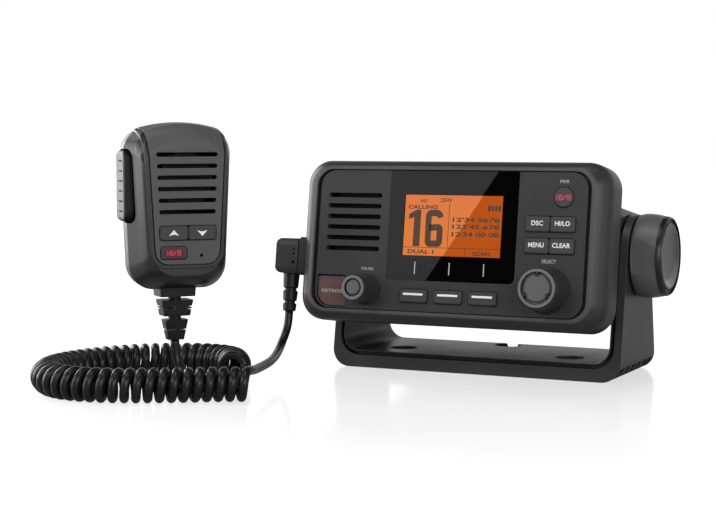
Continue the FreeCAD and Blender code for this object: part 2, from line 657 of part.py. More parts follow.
def make_housing_screws():
    """Pan-head screws with a cross recess, sunk in the housing's rear wall."""
    screws = []
    radius, (long, short) = SCREW_HEAD_R - SCREW_HEAD_FIT, SCREW_SLOT
    for x, z in housing_screw_spots():
        head = turned([(0, 0), (radius, 0), (radius, SCREW_HEAD_T - 0.8), (radius - 0.8, SCREW_HEAD_T),
                       (0, SCREW_HEAD_T)], (x, HOUSING_REAR - SCREW_HEAD_SINK, z), (0, 1, 0))
        shank = cylinder(SCREW_R, (x, HOUSING_REAR - 2 * HOUSING_WALL, z), (x, HOUSING_REAR - 1.0, z))
        screw = head.fuse(shank)
        for wide, high in ((long, short), (short, long)):
            screw = screw.cut(box(x - wide / 2, x + wide / 2, HOUSING_REAR, HOUSING_REAR + SCREW_HEAD_T,
                                  z - high / 2, z + high / 2))
        screws.append(screw)
    add_head("housing_screws", Part.makeCompound(screws))


def make_inserts():
    """Threaded brass inserts that the clamp studs screw into."""
    wall = HOUSING_W / 2
    tube_ = cylinder(INSERT_R, (wall - INSERT_L, PIVOT_DEPTH, PIVOT_RISE), (wall, PIVOT_DEPTH, PIVOT_RISE))
    bore = cylinder(STUD_R + STUD_FIT, (0, PIVOT_DEPTH, PIVOT_RISE), (wall + 1, PIVOT_DEPTH, PIVOT_RISE))
    insert = tube_.cut(bore)
    add_head("pivot_inserts", Part.makeCompound([insert, mirrored(insert)]))


def make_antenna_socket():
    """Coaxial socket: a flanged barrel that is hollow at its mouth, with a hollow centre contact."""
    inside, collar = HOUSING_WALL + CONNECTOR_INSIDE, ANTENNA_R + ANTENNA_COLLAR
    floor, contact_in = ANTENNA_L / 2, ANTENNA_CONTACT_R - ANTENNA_CONTACT_WALL
    barrel = turned([(0, -inside), (ANTENNA_R, -inside), (ANTENNA_R, 0), (collar, 0),
                     (collar, CONNECTOR_FLANGE_T), (ANTENNA_R, CONNECTOR_FLANGE_T), (ANTENNA_R, ANTENNA_L),
                     (ANTENNA_BORE_R, ANTENNA_L), (ANTENNA_BORE_R, floor), (0, floor)],
                    (ANTENNA[0], HOUSING_REAR, ANTENNA[1]), (0, 1, 0))
    contact = turned([(contact_in, floor), (ANTENNA_CONTACT_R, floor), (ANTENNA_CONTACT_R, ANTENNA_L - 1.5),
                      (contact_in, ANTENNA_L - 1.5)], (ANTENNA[0], HOUSING_REAR, ANTENNA[1]), (0, 1, 0))
    add_head("antenna_socket", barrel.fuse(contact))


def make_power_inlet():
    """Round keyed power and data inlet with four contact pins."""
    x, z = POWER
    inner, collar, inside = POWER_R - POWER_WALL, POWER_R + 3.0, HOUSING_WALL + CONNECTOR_INSIDE
    shell = turned([(0, -inside), (POWER_R, -inside), (POWER_R, 0), (collar, 0), (collar, CONNECTOR_FLANGE_T),
                    (POWER_R, CONNECTOR_FLANGE_T), (POWER_R, POWER_L), (inner, POWER_L), (inner, POWER_FLOOR),
                    (0, POWER_FLOOR)], (x, HOUSING_REAR, z), (0, 1, 0))
    key = box(x - POWER_KEY, x + POWER_KEY, HOUSING_REAR, HOUSING_REAR + POWER_L - 1.0,
              z + inner - POWER_KEY, z + inner + POWER_KEY)
    add_head("power_inlet", shell.fuse(key))
    half = POWER_PIN_PITCH / 2
    floor, tip = HOUSING_REAR + POWER_FLOOR, HOUSING_REAR + POWER_L - POWER_PIN_SHORT
    pins = [cylinder(POWER_PIN_R, (x + dx, floor, z + dz), (x + dx, tip, z + dz))
            for dx in (-half, half) for dz in (-half, half)]
    add_head("power_pins", Part.makeCompound(pins))


# ---- head: panel and what shows on it
def panel_slab(shrink, y0, y1):
    half_x, half_z = PANEL_W / 2 - shrink, PANEL_H / 2 - shrink
    radius = PANEL_R - shrink
    return slab(-half_x, half_x, -half_z, half_z, (radius, radius), y0, y1)


def pocket_block(shrink, y0, y1):
    """The distress key's pocket: the panel's lower left corner, inset."""
    corner = box(-PANEL_W, POCKET_X - shrink, y0, y1, -PANEL_H, POCKET_TOP - shrink)
    return panel_slab(POCKET_WALL + shrink, y0, y1).common(corner)


def menu_keys():
    left, right = MENU_KEY_SPLIT_X, MENU_KEY_SPLIT_X
    return {
        "key_call": (left - MENU_KEY_W, left - KEY_FIT / 2, MENU_ROWS_Z[0]),
        "key_power_level": (right + KEY_FIT / 2, right + MENU_KEY_W, MENU_ROWS_Z[0]),
        "key_menu": (left - MENU_KEY_W, left - KEY_FIT / 2, MENU_ROWS_Z[1]),
        "key_clear": (right + KEY_FIT / 2, right + MENU_KEY_W, MENU_ROWS_Z[1]),
    }


def window_slab(shrink, y0, y1):
    """Display window: square corners at the panel's top edge and round ones below."""
    x0, x1 = WINDOW_X
    low = slab(x0 + shrink, x1 - shrink, WINDOW_BOTTOM + shrink, 0, (WINDOW_R, WINDOW_R), y0, y1)
    return low.fuse(box(x0 + shrink, x1 - shrink, y0, y1, -WINDOW_R - 1, PANEL_H / 2)).removeSplitter()


def make_panel():
    body = panel_slab(0, 0, PANEL_T)
    flange_x, flange_z = PANEL_W / 2 + PANEL_FLANGE, PANEL_H / 2 + PANEL_FLANGE / 2
    body = body.fuse(slab(-flange_x, flange_x, -flange_z, flange_z, (FLANGE_R, FLANGE_R),
                          BEZEL_LIP_T, PANEL_T))
    well = pocket_block(-POCKET_WALL, 0, POCKET_DEPTH + POCKET_FLOOR_T)
    body = body.fuse(well).cut(pocket_block(0, -1, POCKET_DEPTH))
    body = body.cut(window_slab(0, -1, LENS_T))
    body = body.cut(lcd_block(LCD_BORDER / 2, -1, 2 * PANEL_T))
    for i in range(SLOT_COUNT):
        z = SLOT_TOP_Z - SLOT_PITCH * i
        body = body.cut(bar(*SLOT_X, z - SLOT_H / 2, z + SLOT_H / 2, -1, 2 * PANEL_T))
    gap = KEY_FIT
    corner = KEY_R + gap

    def key_hole(x, z, wide, high):
        """Opening for a key, centred at (x, z)."""
        return slab(x - wide / 2 - gap, x + wide / 2 + gap, z - high / 2 - gap, z + high / 2 + gap,
                    (corner, corner), -1, 2 * PANEL_T)

    for x in SOFT_KEYS.values():
        body = body.cut(key_hole(x, SOFT_KEY_Z, SOFT_KEY_W, SOFT_KEY_H))
    for z in MENU_ROWS_Z:
        body = body.cut(key_hole(MENU_KEY_SPLIT_X, z, 2 * MENU_KEY_W, MENU_KEY_H))
    shaft = SHAFT_R + SHAFT_HOLE_FIT
    for x, z, radius in ((CHANNEL_KEY_X, CHANNEL_KEY_Z, CHANNEL_KEY_R + gap), (VOLUME_X, VOLUME_Z, shaft),
                         (SELECT_X, SELECT_Z, shaft)):
        body = body.cut(cylinder(radius, (x, -1, z), (x, 2 * PANEL_T, z)))
    body = body.cut(hinge_pin()).cut(key_hole(*distress_centre(), DISTRESS_W, DISTRESS_H))
    add_head("front_panel", body)


def make_lens():
    add_head("display_lens", window_slab(0.1, 0, LENS_T))


def lcd_block(grow, y0, y1):
    """Display area, grown by grow."""
    return box(LCD_X[0] - grow, LCD_X[1] + grow, y0, y1, LCD_Z[0] - grow, LCD_Z[1] + grow)


def make_lcd():
    """Display module: the glass shows through the panel, its frame sits behind it."""
    module = lcd_block(LCD_BORDER, PANEL_T, PCB_FACE)
    front = lcd_block(LCD_BORDER / 2 - 0.2, LENS_T + 0.1, PANEL_T + 1)
    add_head("lcd_module", module.fuse(front).removeSplitter())


def make_speaker():
    x, z = (SLOT_X[0] + SLOT_X[1]) / 2, SLOT_TOP_Z - SLOT_PITCH * (SLOT_COUNT - 1) / 2
    cone = SPEAKER_R - SPEAKER_RIM
    driver = turned([(0, 3.2), (5.0, 2.6), (cone, 0.6), (cone, 0), (SPEAKER_R, 0), (SPEAKER_R, 1.6),
                     (cone + 0.4, 2.4), (SPEAKER_BASKET_R, SPEAKER_BASKET_L), (MAGNET_R, SPEAKER_BASKET_L),
                     (MAGNET_R, MAGNET_L), (0, MAGNET_L)], (x, PANEL_T, z), (0, 1, 0))
    add_head("speaker", driver)


def make_key_board():
    """Circuit board behind the keys, cut away round the speaker."""
    right = PANEL_W / 2
    top = PANEL_H / 2 - 1.0
    left = WINDOW_X[0] + 1.5
    shelf = VOLUME_Z + ENCODER_W / 2 + 4.0
    board = slab(left, right, -top, top, (PANEL_R, PANEL_R), PCB_FACE, PCB_FACE + PCB_T)
    shelf_block = slab(-right, left + 2 * PANEL_R, -top, shelf, (PANEL_R, 1.0), PCB_FACE, PCB_FACE + PCB_T)
    add_head("key_board", board.fuse(shelf_block).removeSplitter())


def make_encoder(name, x, z, length):
    """Rotary encoder on the key board; its shaft runs through the panel into the knob."""
    half = ENCODER_W / 2
    body = box(x - half, x + half, PANEL_T, PCB_FACE, z - half, z + half)
    bush = cylinder(SHAFT_R + 0.7, (x, 1.0, z), (x, PANEL_T + 1, z))
    shaft = cylinder(SHAFT_R, (x, -length + 6.0, z), (x, PANEL_T + 1, z))
    add_head(name, body.fuse(bush).fuse(shaft))


def make_key(name, x0, x1, z0, z1, proud):
    """Key with a bevelled top, a flange that holds it behind the panel and a stem to its switch."""
    top = bevelled(x0, x1, z0, z1, KEY_R, -proud, PANEL_T)
    flange = box(x0, x1, PANEL_T, PANEL_T + KEY_FLANGE_T, z0 - KEY_FLANGE, z1 + KEY_FLANGE)
    stem = box(x0 + 2, x1 - 2, PANEL_T, PCB_FACE - KEY_TRAVEL - 0.2, z0 + 1.5, z1 - 1.5)
    add_head(name, top.fuse([flange, stem]).removeSplitter())


def make_keys():
    for name, x in SOFT_KEYS.items():
        make_key(name, x - SOFT_KEY_W / 2, x + SOFT_KEY_W / 2, SOFT_KEY_Z - SOFT_KEY_H / 2,
                 SOFT_KEY_Z + SOFT_KEY_H / 2, SOFT_KEY_PROUD)
    for name, (x0, x1, z) in menu_keys().items():
        make_key(name, x0, x1, z - MENU_KEY_H / 2, z + MENU_KEY_H / 2, MENU_KEY_PROUD)
    radius, back, face = CHANNEL_KEY_R, PCB_FACE - KEY_TRAVEL - 0.2, -CHANNEL_KEY_PROUD
    flange_r, flange_back, stem_r = radius + KEY_FLANGE, PANEL_T + KEY_FLANGE_T, radius - 1.5
    channel = turned([(0, face), (radius - 0.5, face), (radius, face + 0.5), (radius, PANEL_T),
                      (flange_r, PANEL_T), (flange_r, flange_back), (stem_r, flange_back), (stem_r, back), (0, back)],
                     (CHANNEL_KEY_X, 0, CHANNEL_KEY_Z), (0, 1, 0))
    add_head("key_channel_sixteen", channel)


def make_knob(name, x, z, base_r, face_r, length, ring_r, button_r, spokes):
    """Tapered knob with a push button in the middle of its face and a deep ring round the button."""
    bore = SHAFT_R + SHAFT_FIT
    well = length - 3.4
    knob = turned([(0, length - 5.0), (bore, length - 5.0), (bore, 0), (base_r, 0), (base_r, 1.6),
                   (base_r - 0.5, 2.6), (face_r + 0.5, length - 1.4), (face_r - 0.3, length),
                   (ring_r + 0.4, length), (ring_r, length - 0.5), (ring_r, well), (0, well)],
                  (x, -KNOB_GAP, z), (0, -1, 0))
    top = length + 0.1
    seat = well + BUTTON_TRAVEL + 0.1
    skirt = ring_r - BUTTON_FIT
    button = turned([(0, seat), (skirt, seat), (skirt, seat + 0.8), (button_r, seat + 0.8),
                     (button_r, top - 0.4), (button_r - 0.4, top), (0, top)], (x, -KNOB_GAP, z), (0, -1, 0))
    for angle in spokes:
        spoke = box(button_r - 0.6, ring_r + 0.3, -0.6, 0.6, seat + 0.8 + 1.0, length)
        spoke.rotate(Vector(0, 0, 0), Vector(0, 0, 1), angle)
        slot = box(button_r - 0.9, ring_r, -0.9, 0.9, seat, 2 * length)
        slot.rotate(Vector(0, 0, 0), Vector(0, 0, 1), angle)
        place = Placement(Vector(x, -KNOB_GAP, z), Rotation(Vector(0, 0, 1), Vector(0, -1, 0)))
        spoke.Placement = place.multiply(spoke.Placement)
        slot.Placement = place.multiply(slot.Placement)
        knob = knob.fuse(spoke)
        button = button.cut(slot)
    add_head(name + "_knob", knob)
    add_head(name + "_button", button)


# ---- distress key under its cover
def hinge_axis():
    """(y, z) of the cover's hinge pin in the panel frame."""
    return COVER_SET_BACK + HINGE_R, POCKET_TOP - COVER_FIT - HINGE_R


def hinge_pin():
    y, z = hinge_axis()
    return cylinder(HINGE_PIN_R, (-PANEL_W / 2 + HINGE_PIN_INSET, y, z), (POCKET_X + HINGE_PIN_OVER, y, z))


def distress_centre():
    return (POCKET_X - PANEL_W / 2 + POCKET_WALL) / 2 + 0.4, (POCKET_TOP - 2 * HINGE_R - PANEL_H / 2) / 2


def make_cover():
    pin_y, pin_z = hinge_axis()
    left, right = -PANEL_W / 2 + POCKET_WALL + COVER_FIT, POCKET_X - COVER_FIT
    plate = pocket_block(COVER_FIT, COVER_SET_BACK, COVER_SET_BACK + COVER_T)
    plate = plate.common(box(-PANEL_W, PANEL_W, -1, PANEL_T, -PANEL_H, pin_z))
    barrel = cylinder(HINGE_R, (left, pin_y, pin_z), (right, pin_y, pin_z))
    cover = plate.fuse(barrel)
    cover = cover.cut(cylinder(HINGE_PIN_R + HINGE_FIT, (left - 1, pin_y, pin_z), (right + 1, pin_y, pin_z)))
    add_head("distress_cover", cover)
    add_head("cover_hinge_pin", hinge_pin())


def make_distress_button():
    x, z = distress_centre()
    x0, x1, z0, z1 = x - DISTRESS_W / 2, x + DISTRESS_W / 2, z - DISTRESS_H / 2, z + DISTRESS_H / 2
    floor_back = POCKET_DEPTH + POCKET_FLOOR_T
    top = bevelled(x0, x1, z0, z1, 1.2, COVER_SET_BACK + COVER_T + 0.7, floor_back)
    flange = box(x0, x1, floor_back, floor_back + KEY_FLANGE_T - 0.1, z0 - KEY_FLANGE, z1 + KEY_FLANGE)
    add_head("distress_button", top.fuse(flange).removeSplitter())


# ---- microphone socket, plug and its strain relief
def side_block(x_out, x_in, height, shrink, radius):
    """Block on the head's left side, from x_in out to x_out, with its long front edges chamfered."""
    y0, y1 = SOCKET_FRONT + shrink, SOCKET_FRONT + SOCKET_DEPTH - shrink
    z0, z1 = SOCKET_Z - height / 2 + shrink, SOCKET_Z + height / 2 - shrink
    c = SOCKET_CHAMFER
    points = [(y0 + c / 2, z0), (y1 - c, z0), (y1, z0 + c), (y1, z1 - c), (y1 - c, z1), (y0 + c / 2, z1),
              (y0, z1 - c), (y0, z0 + c)]
    wire = Part.makePolygon([Vector(-x_out, y, z) for y, z in points + points[:1]])
    block = Part.Face(wire).extrude(Vector(x_out - x_in, 0, 0))
    if radius:
        depth = SOCKET_DEPTH + 2
        block = block.common(slab(-x_out, radius * 4, z0, z1, (radius, radius), y0 - 1, y0 + depth))
    return block


def socket_block(grow):
    return side_block(SOCKET_OUT, BEZEL_W / 2 - BEZEL_WALL, SOCKET_H, -grow, 0)


def make_socket_and_plug():
    add_head("mic_socket", socket_block(0))
    plug_in = SOCKET_OUT + PLUG_NECK
    body = side_block(plug_in + PLUG_W, plug_in, PLUG_H, PLUG_TRIM, PLUG_R)
    neck = side_block(plug_in + 1.0, SOCKET_OUT, SOCKET_H, PLUG_NECK + PLUG_TRIM, 0)
    x = -plug_in - PLUG_HOLE_X
    for rise, radius in PLUG_HOLES:
        z = SOCKET_Z + rise
        body = body.cut(cylinder(radius, (x, SOCKET_FRONT - 1, z), (x, SOCKET_FRONT + PLUG_HOLE_DEPTH, z)))
    add_head("mic_plug", body.fuse(neck))
    x, y = relief_axis()
    profile = [(0, 0), (RELIEF_TOP_R, 0)]
    for share in RELIEF_WAISTS:
        radius = RELIEF_TOP_R + (RELIEF_END_R - RELIEF_TOP_R) * share
        at = RELIEF_L * share
        profile += [(radius, at - 1.0), (radius - RELIEF_WAIST, at - 0.5), (radius - RELIEF_WAIST, at + 0.5),
                    (radius, at + 1.0)]
    profile += [(RELIEF_END_R, RELIEF_L - 0.4), (RELIEF_END_R - 0.4, RELIEF_L), (0, RELIEF_L)]
    add_head("plug_strain_relief", turned(profile, (x, y, relief_top()), (0, 0, -1)))


def relief_top():
    """Upper end of the plug's strain relief in the panel frame."""
    return SOCKET_Z - PLUG_H / 2 + PLUG_TRIM


def relief_axis():
    """(x, y) of the plug's strain relief in the panel frame."""
    return -(SOCKET_OUT + PLUG_NECK + PLUG_W / 2), SOCKET_FRONT + SOCKET_DEPTH / 2


# ---- cord
PLUG_STRAIGHT = 8.0        # length that leaves the plug's strain relief along its axis
MIC_STRAIGHT = 4.6         # and the microphone's
PLUG_RUN = [
    (-94.6, -67.8, 17.3), (-92.6, -75.6, 13.3), (-87.4, -89.6, 11.5), (-80.6, -107.5, 11.2),
    (-73.8, -129.0, 11.6), (-67.2, -147.0, 12.8), (-61.9, -158.5, 14.4),
]
COIL_RUN = [
    (-57.5, -165.5, 8.7), (-72.0, -172.0, 8.7), (-88.0, -182.0, 8.7), (-106.0, -192.0, 8.7),
    (-126.0, -200.0, 8.7), (-147.0, -199.0, 8.7), (-164.0, -188.0, 8.7), (-174.0, -171.0, 8.7),
    (-176.0, -152.0, 8.7), (-170.5, -133.5, 8.7), (-160.0, -116.5, 8.7), (-145.5, -103.5, 8.7),
    (-128.5, -97.0, 8.7), (-112.5, -99.0, 8.7), (-101.0, -107.5, 8.7), (-96.0, -119.5, 8.7),
]
MIC_RUN = [
    (-112.2, -147.2, 13.9), (-107.2, -147.9, 8.8), (-100.4, -146.0, 5.4), (-95.2, -139.8, 4.6),
    (-93.6, -130.5, 6.4), (-96.0, -119.5, 8.9),
]


def tube(points, diameter, name):
    """Tube along straight runs joined by the largest tangent arcs that the runs allow."""
    points = [Vector(*p) for p in points]
    edges, at, radii = [], points[0], []
    for before, corner, after in zip(points, points[1:], points[2:]):
        arrive, leave = (corner - before), (after - corner)
        half_turn = arrive.getAngle(leave) / 2
        cut = 0.45 * min(arrive.Length, leave.Length)
        radii.append(cut / math.tan(half_turn))
        arrive.normalize()
        leave.normalize()
        start, end = corner - arrive * cut, corner + leave * cut
        toward = leave - arrive
        toward.normalize()
        radius = radii[-1]
        middle = corner + toward * (radius / math.cos(half_turn) - radius)
        edges.append(Part.LineSegment(at, start).toShape())
        edges.append(Part.Arc(start, middle, end).toShape())
        at = end
    edges.append(Part.LineSegment(at, points[-1]).toShape())
    path = Part.Wire(edges)
    section = Part.Wire([Part.Circle(points[0], points[1] - points[0], diameter / 2).toShape()])
    solid = path.makePipeShell([section], True, False)
    ideal = math.pi * diameter ** 2 / 4 * path.Length
    ratio = solid.Volume / ideal
    print(f"{name}: length {path.Length:.1f}, smallest radius {min(radii):.1f}, volume ratio {ratio:.4f}")
    return solid


def make_cord():
    x, y = relief_axis()
    mouth = relief_top() - RELIEF_L
    leaving = [tuple(head_point(x, y, mouth)), tuple(head_point(x, y, mouth - PLUG_STRAIGHT))]
    PARTS["cord_plug_run"] = tube(leaving + PLUG_RUN, WIRE_D, "cord_plug_run")
    PARTS["cord_coil"] = tube(COIL_RUN, COIL_D, "cord_coil")
    mouth = MIC_BASE_Z - MIC_RELIEF_L
    yaw = math.radians(MIC_YAW)
    x, y = MIC_X - MIC_RELIEF_Y * math.sin(yaw), MIC_Y + MIC_RELIEF_Y * math.cos(yaw)
    leaving = [(x, y, mouth), (x, y, mouth - MIC_STRAIGHT)]
    PARTS["cord_mic_run"] = tube(leaving + MIC_RUN, WIRE_D, "cord_mic_run")


# ---- microphone
def mic_section(y, half, bottom, top, grow):
    """Outline of the case at depth y: tapered sides, round lower corners and a crowned top."""
    half, bottom, top = half + grow, bottom - grow, top + grow
    low, chin, near = half - MIC_TAPER, MIC_CHIN_R, MIC_CHIN_R * (1 - math.sqrt(0.5))
    turn = math.radians(MIC_CORNER_TURN)

    def upper(share, side):
        """Point of an upper corner, from the side up to the crown."""
        angle = turn * share
        across = half - MIC_CORNER_R * (1 - math.cos(angle))
        return Vector(side * across, y, top - MIC_CROWN - MIC_CORNER_R * (math.sin(turn) - math.sin(angle)))

    def lower(share, side):
        """Point of a lower corner: 0 on the bottom, 0.5 halfway round and 1 on the side."""
        across, rise = {0: (low - chin, 0), 0.5: (low - near, near), 1: (low, chin)}[share]
        return Vector(side * across, y, bottom + rise)

    return Part.Wire([
        Part.LineSegment(lower(0, -1), lower(0, 1)).toShape(),
        Part.Arc(lower(0, 1), lower(0.5, 1), lower(1, 1)).toShape(),
        Part.LineSegment(lower(1, 1), upper(0, 1)).toShape(),
        Part.Arc(upper(0, 1), upper(0.5, 1), upper(1, 1)).toShape(),
        Part.Arc(upper(1, 1), Vector(0, y, top), upper(1, -1)).toShape(),
        Part.Arc(upper(1, -1), upper(0.5, -1), upper(0, -1)).toShape(),
        Part.LineSegment(upper(0, -1), lower(1, -1)).toShape(),
        Part.Arc(lower(1, -1), lower(0.5, -1), lower(0, -1)).toShape(),
    ])


def mic_body(grow):
    """The whole case, grown by grow, lofted from its front face to its back."""
    front, widest, rear = MIC_FRONT, MIC_WIDEST, MIC_REAR
    sections = [
        mic_section(front - grow, MIC_HALF_W - 7.0, 7.5, MIC_H - 8.5, grow),
        mic_section(front + 2.2, MIC_HALF_W - 5.2, 5.2, MIC_H - 3.4, grow),
        mic_section(front + 6.5, MIC_HALF_W - 3.2, 2.6, MIC_H - 0.9, grow),
        mic_section(widest, MIC_HALF_W, 0.0, MIC_H, grow),
        mic_section(rear - 6.0, MIC_HALF_W - 1.0, 0.4, MIC_H - 0.6, grow),
        mic_section(rear - 2.0, MIC_HALF_W - 3.6, 2.4, MIC_H - 3.0, grow),
        mic_section(rear + grow, MIC_HALF_W - 7.5, 6.5, MIC_H - 7.5, grow),
    ]
    return Part.makeLoft(sections, True, True)


def face_prism(shrink, y0, y1):
    """Outline of the raised face, which runs on over the top of the case."""
    top_half, low_half, bottom = FACE_TOP_HALF - shrink, FACE_BOTTOM_HALF - shrink, FACE_BOTTOM + shrink
    radius = FACE_R - shrink / 2
    top = 2 * MIC_H
    lean = (top_half - low_half) / (MIC_SLOT_TOP - FACE_BOTTOM)
    near = radius * (1 - math.sqrt(0.5))

    def low(side):
        """End of the bottom edge, middle of the corner, and where the leaning side starts."""
        return (Vector(side * (low_half - radius), y0, bottom),
                Vector(side * (low_half - near), y0, bottom + near),
                Vector(side * (low_half + lean * radius), y0, bottom + radius))

    def high(side):
        return Vector(side * (low_half + lean * (top - bottom)), y0, top)

    left, right = low(-1), low(1)
    wire = Part.Wire([
        Part.LineSegment(left[0], right[0]).toShape(),
        Part.Arc(*right).toShape(),
        Part.LineSegment(right[2], high(1)).toShape(),
        Part.LineSegment(high(1), high(-1)).toShape(),
        Part.LineSegment(high(-1), left[2]).toShape(),
        Part.Arc(*reversed(left)).toShape(),
    ])
    return Part.Face(wire).extrude(Vector(0, y1 - y0, 0))


def mic_key_boxes():
    middle = (MIC_KEY_X[0] + MIC_KEY_X[1]) / 2
    return {
        "mic_key_up": (MIC_KEY_X[0], middle - KEY_FIT / 2, *MIC_KEY_ROW_Z),
        "mic_key_down": (middle + KEY_FIT / 2, MIC_KEY_X[1], *MIC_KEY_ROW_Z),
        "mic_key_sixteen": (*MIC_CALL_KEY_X, *MIC_CALL_KEY_Z),
    }


def mic_openings():
    """Everything that passes through the microphone's face and front wall."""
    y0, y1 = 2 * MIC_FRONT, MIC_FRONT + 2 * MIC_WALL
    cuts = []
    for i in range(SLOT_COUNT):
        z = MIC_SLOT_TOP - MIC_SLOT_PITCH * i
        half = MIC_SLOT_HALF - 0.25 * i
        cuts.append(bar(-half, half, z - MIC_SLOT_H / 2, z + MIC_SLOT_H / 2, y0, y1))
    gap, corner = KEY_FIT, MIC_KEY_R + KEY_FIT
    for (x0, x1), (z0, z1) in ((MIC_KEY_X, MIC_KEY_ROW_Z), (MIC_CALL_KEY_X, MIC_CALL_KEY_Z)):
        cuts.append(slab(x0 - gap, x1 + gap, z0 - gap, z1 + gap, (corner, corner), y0, y1))
    x, z = MIC_HOLE
    cuts.append(cylinder(MIC_HOLE_R, (x, y0, z), (x, y1, z)))
    return cuts


def ptt_block(grow, corner):
    """The push-to-talk lever's side pocket, grown by grow."""
    x_out, x_in = -PTT_OUT - 5.0, -PTT_OUT + PTT_DEPTH + 1.0 + grow
    y0, y1 = PTT_Y[0] - PTT_RECESS_FRONT - grow, PTT_Y[1] + PTT_FIT + grow
    z0, z1 = PTT_Z[0] - PTT_FIT - grow, PTT_Z[1] + PTT_FIT + grow
    block = slab(x_out, x_in, z0, z1, (corner, corner), y0, y1)
    return block.common(side_slab(y0, y1, z0, z1, PTT_ROUND + PTT_FIT, x_out, x_in))


def make_mic_case():
    outer, inner = mic_body(0), mic_body(-MIC_WALL)
    skin = mic_body(FACE_PROUD)
    seat = mic_body(FACE_PROUD - FACE_T)
    split = MIC_WIDEST
    reach = 3 * MIC_H
    front_half = box(-reach, reach, -reach, split, -reach, reach)
    frame = skin.common(face_prism(-FACE_FRAME, 2 * MIC_FRONT, split)).cut(
        face_prism(-FACE_GROOVE, 3 * MIC_FRONT, split + 1))
    front = outer.common(front_half)
    pocket = face_prism(-FACE_GROOVE, 3 * MIC_FRONT, split).cut(seat)
    front = front.fuse(frame).cut(pocket).cut(inner)
    for cut in mic_openings():
        front = front.cut(cut)
    recess = ptt_block(0, PTT_RECESS_CORNER)
    well = ptt_block(PTT_WELL_WALL, PTT_RECESS_CORNER).common(outer)
    front = front.fuse(well.common(front_half)).cut(recess)
    add_mic("mic_front_case", front)
    rear_half = box(-reach, reach, split, reach, -reach, reach)
    rear = outer.common(rear_half).cut(inner).fuse(well.common(rear_half)).cut(recess)
    neck = cylinder(HANGER_NECK_R - 1.5, (0, MIC_REAR - 2 * MIC_WALL, HANGER_Z), (0, MIC_REAR + 1, HANGER_Z))
    rear = rear.cut(neck)
    for x, z in mic_screw_spots():
        post = cylinder(MIC_POST_ROUND, (x, split + 0.5, z), (x, MIC_REAR - 1.0, z)).common(outer)
        hole = cylinder(MIC_SCREW_R, (x, split - 1, z), (x, MIC_REAR + 1, z))
        head = cylinder(MIC_SCREW_HEAD_R, (x, MIC_REAR - MIC_SCREW_SINK, z), (x, MIC_REAR + 1, z))
        rear = rear.fuse(post).cut(hole).cut(head)
    add_mic("mic_rear_case", rear)
    face = skin.common(face_prism(0, 2 * MIC_FRONT, split)).cut(seat)
    for cut in mic_openings():
        face = face.cut(cut)
    add_mic("mic_face_plate", face)


def mic_screw_spots():
    return [(-MIC_SCREW_OUT, MIC_SCREW_IN), (MIC_SCREW_OUT, MIC_SCREW_IN), (0.0, MIC_H - MIC_SCREW_IN)]


def make_mic_screws():
    radius, sink = MIC_SCREW_HEAD_R - SCREW_HEAD_FIT, -MIC_SCREW_SINK
    screws = []
    for x, z in mic_screw_spots():
        head = turned([(0, sink), (radius, sink), (radius, sink + 1.0), (radius - 0.7, -0.2), (0, -0.2)],
                      (x, MIC_REAR, z), (0, 1, 0))
        shank = cylinder(MIC_SCREW_R, (x, MIC_WIDEST + 0.5, z), (x, MIC_REAR - 1.5, z))
        screws.append(head.fuse(shank))
    add_mic("mic_screws", Part.makeCompound(screws))


def make_mic_keys():
    wall_back = MIC_FRONT + MIC_WALL
    board = MIC_FRONT + MIC_PCB_FACE
    for name, (x0, x1, z0, z1) in mic_key_boxes().items():
        top = bevelled(x0, x1, z0, z1, MIC_KEY_R, MIC_FRONT - FACE_PROUD - MIC_KEY_PROUD, wall_back, 0.4)
        flange = box(x0, x1, wall_back, wall_back + KEY_FLANGE_T, z0 - KEY_FLANGE, z1 + KEY_FLANGE)
        stem = box(x0 + 2, x1 - 2, wall_back, board - KEY_TRAVEL - 0.2, z0 + 1.5, z1 - 1.5)
        add_mic(name, top.fuse([flange, stem]).removeSplitter())


def make_mic_insides():
    face = MIC_FRONT + MIC_PCB_FACE
    half = MIC_HALF_W - MIC_TAPER - MIC_WALL - MIC_BOARD_CLEAR
    top = PTT_Z[0] - PTT_FIT - PTT_WELL_WALL - KEY_FIT
    board = slab(-half, half, MIC_CALL_KEY_Z[0] - 5.0, top, (5.0, 1.0), face, face + PCB_T)
    posts = [cylinder(MIC_POST_R, (x, MIC_FRONT + MIC_WALL, top - MIC_POST_R), (x, face, top - MIC_POST_R))
             for x in (-half + MIC_POST_R, half - MIC_POST_R)]
    add_mic("mic_board", board.fuse(posts))
    z = MIC_SLOT_TOP - MIC_SLOT_PITCH * (SLOT_COUNT - 1) / 2
    cone = MIC_SPEAKER_R - MIC_SPEAKER_RIM
    driver = turned([(0, 2.4), (4.0, 2.0), (cone, 0.6), (cone, 0), (MIC_SPEAKER_R, 0), (MIC_SPEAKER_R, 1.4),
                     (cone, 2.0), (MIC_MAGNET_R, 5.5), (MIC_MAGNET_R, MIC_MAGNET_L), (0, MIC_MAGNET_L)],
                    (0, MIC_FRONT + MIC_WALL, z + 1.5), (0, 1, 0))
    add_mic("mic_speaker", driver)


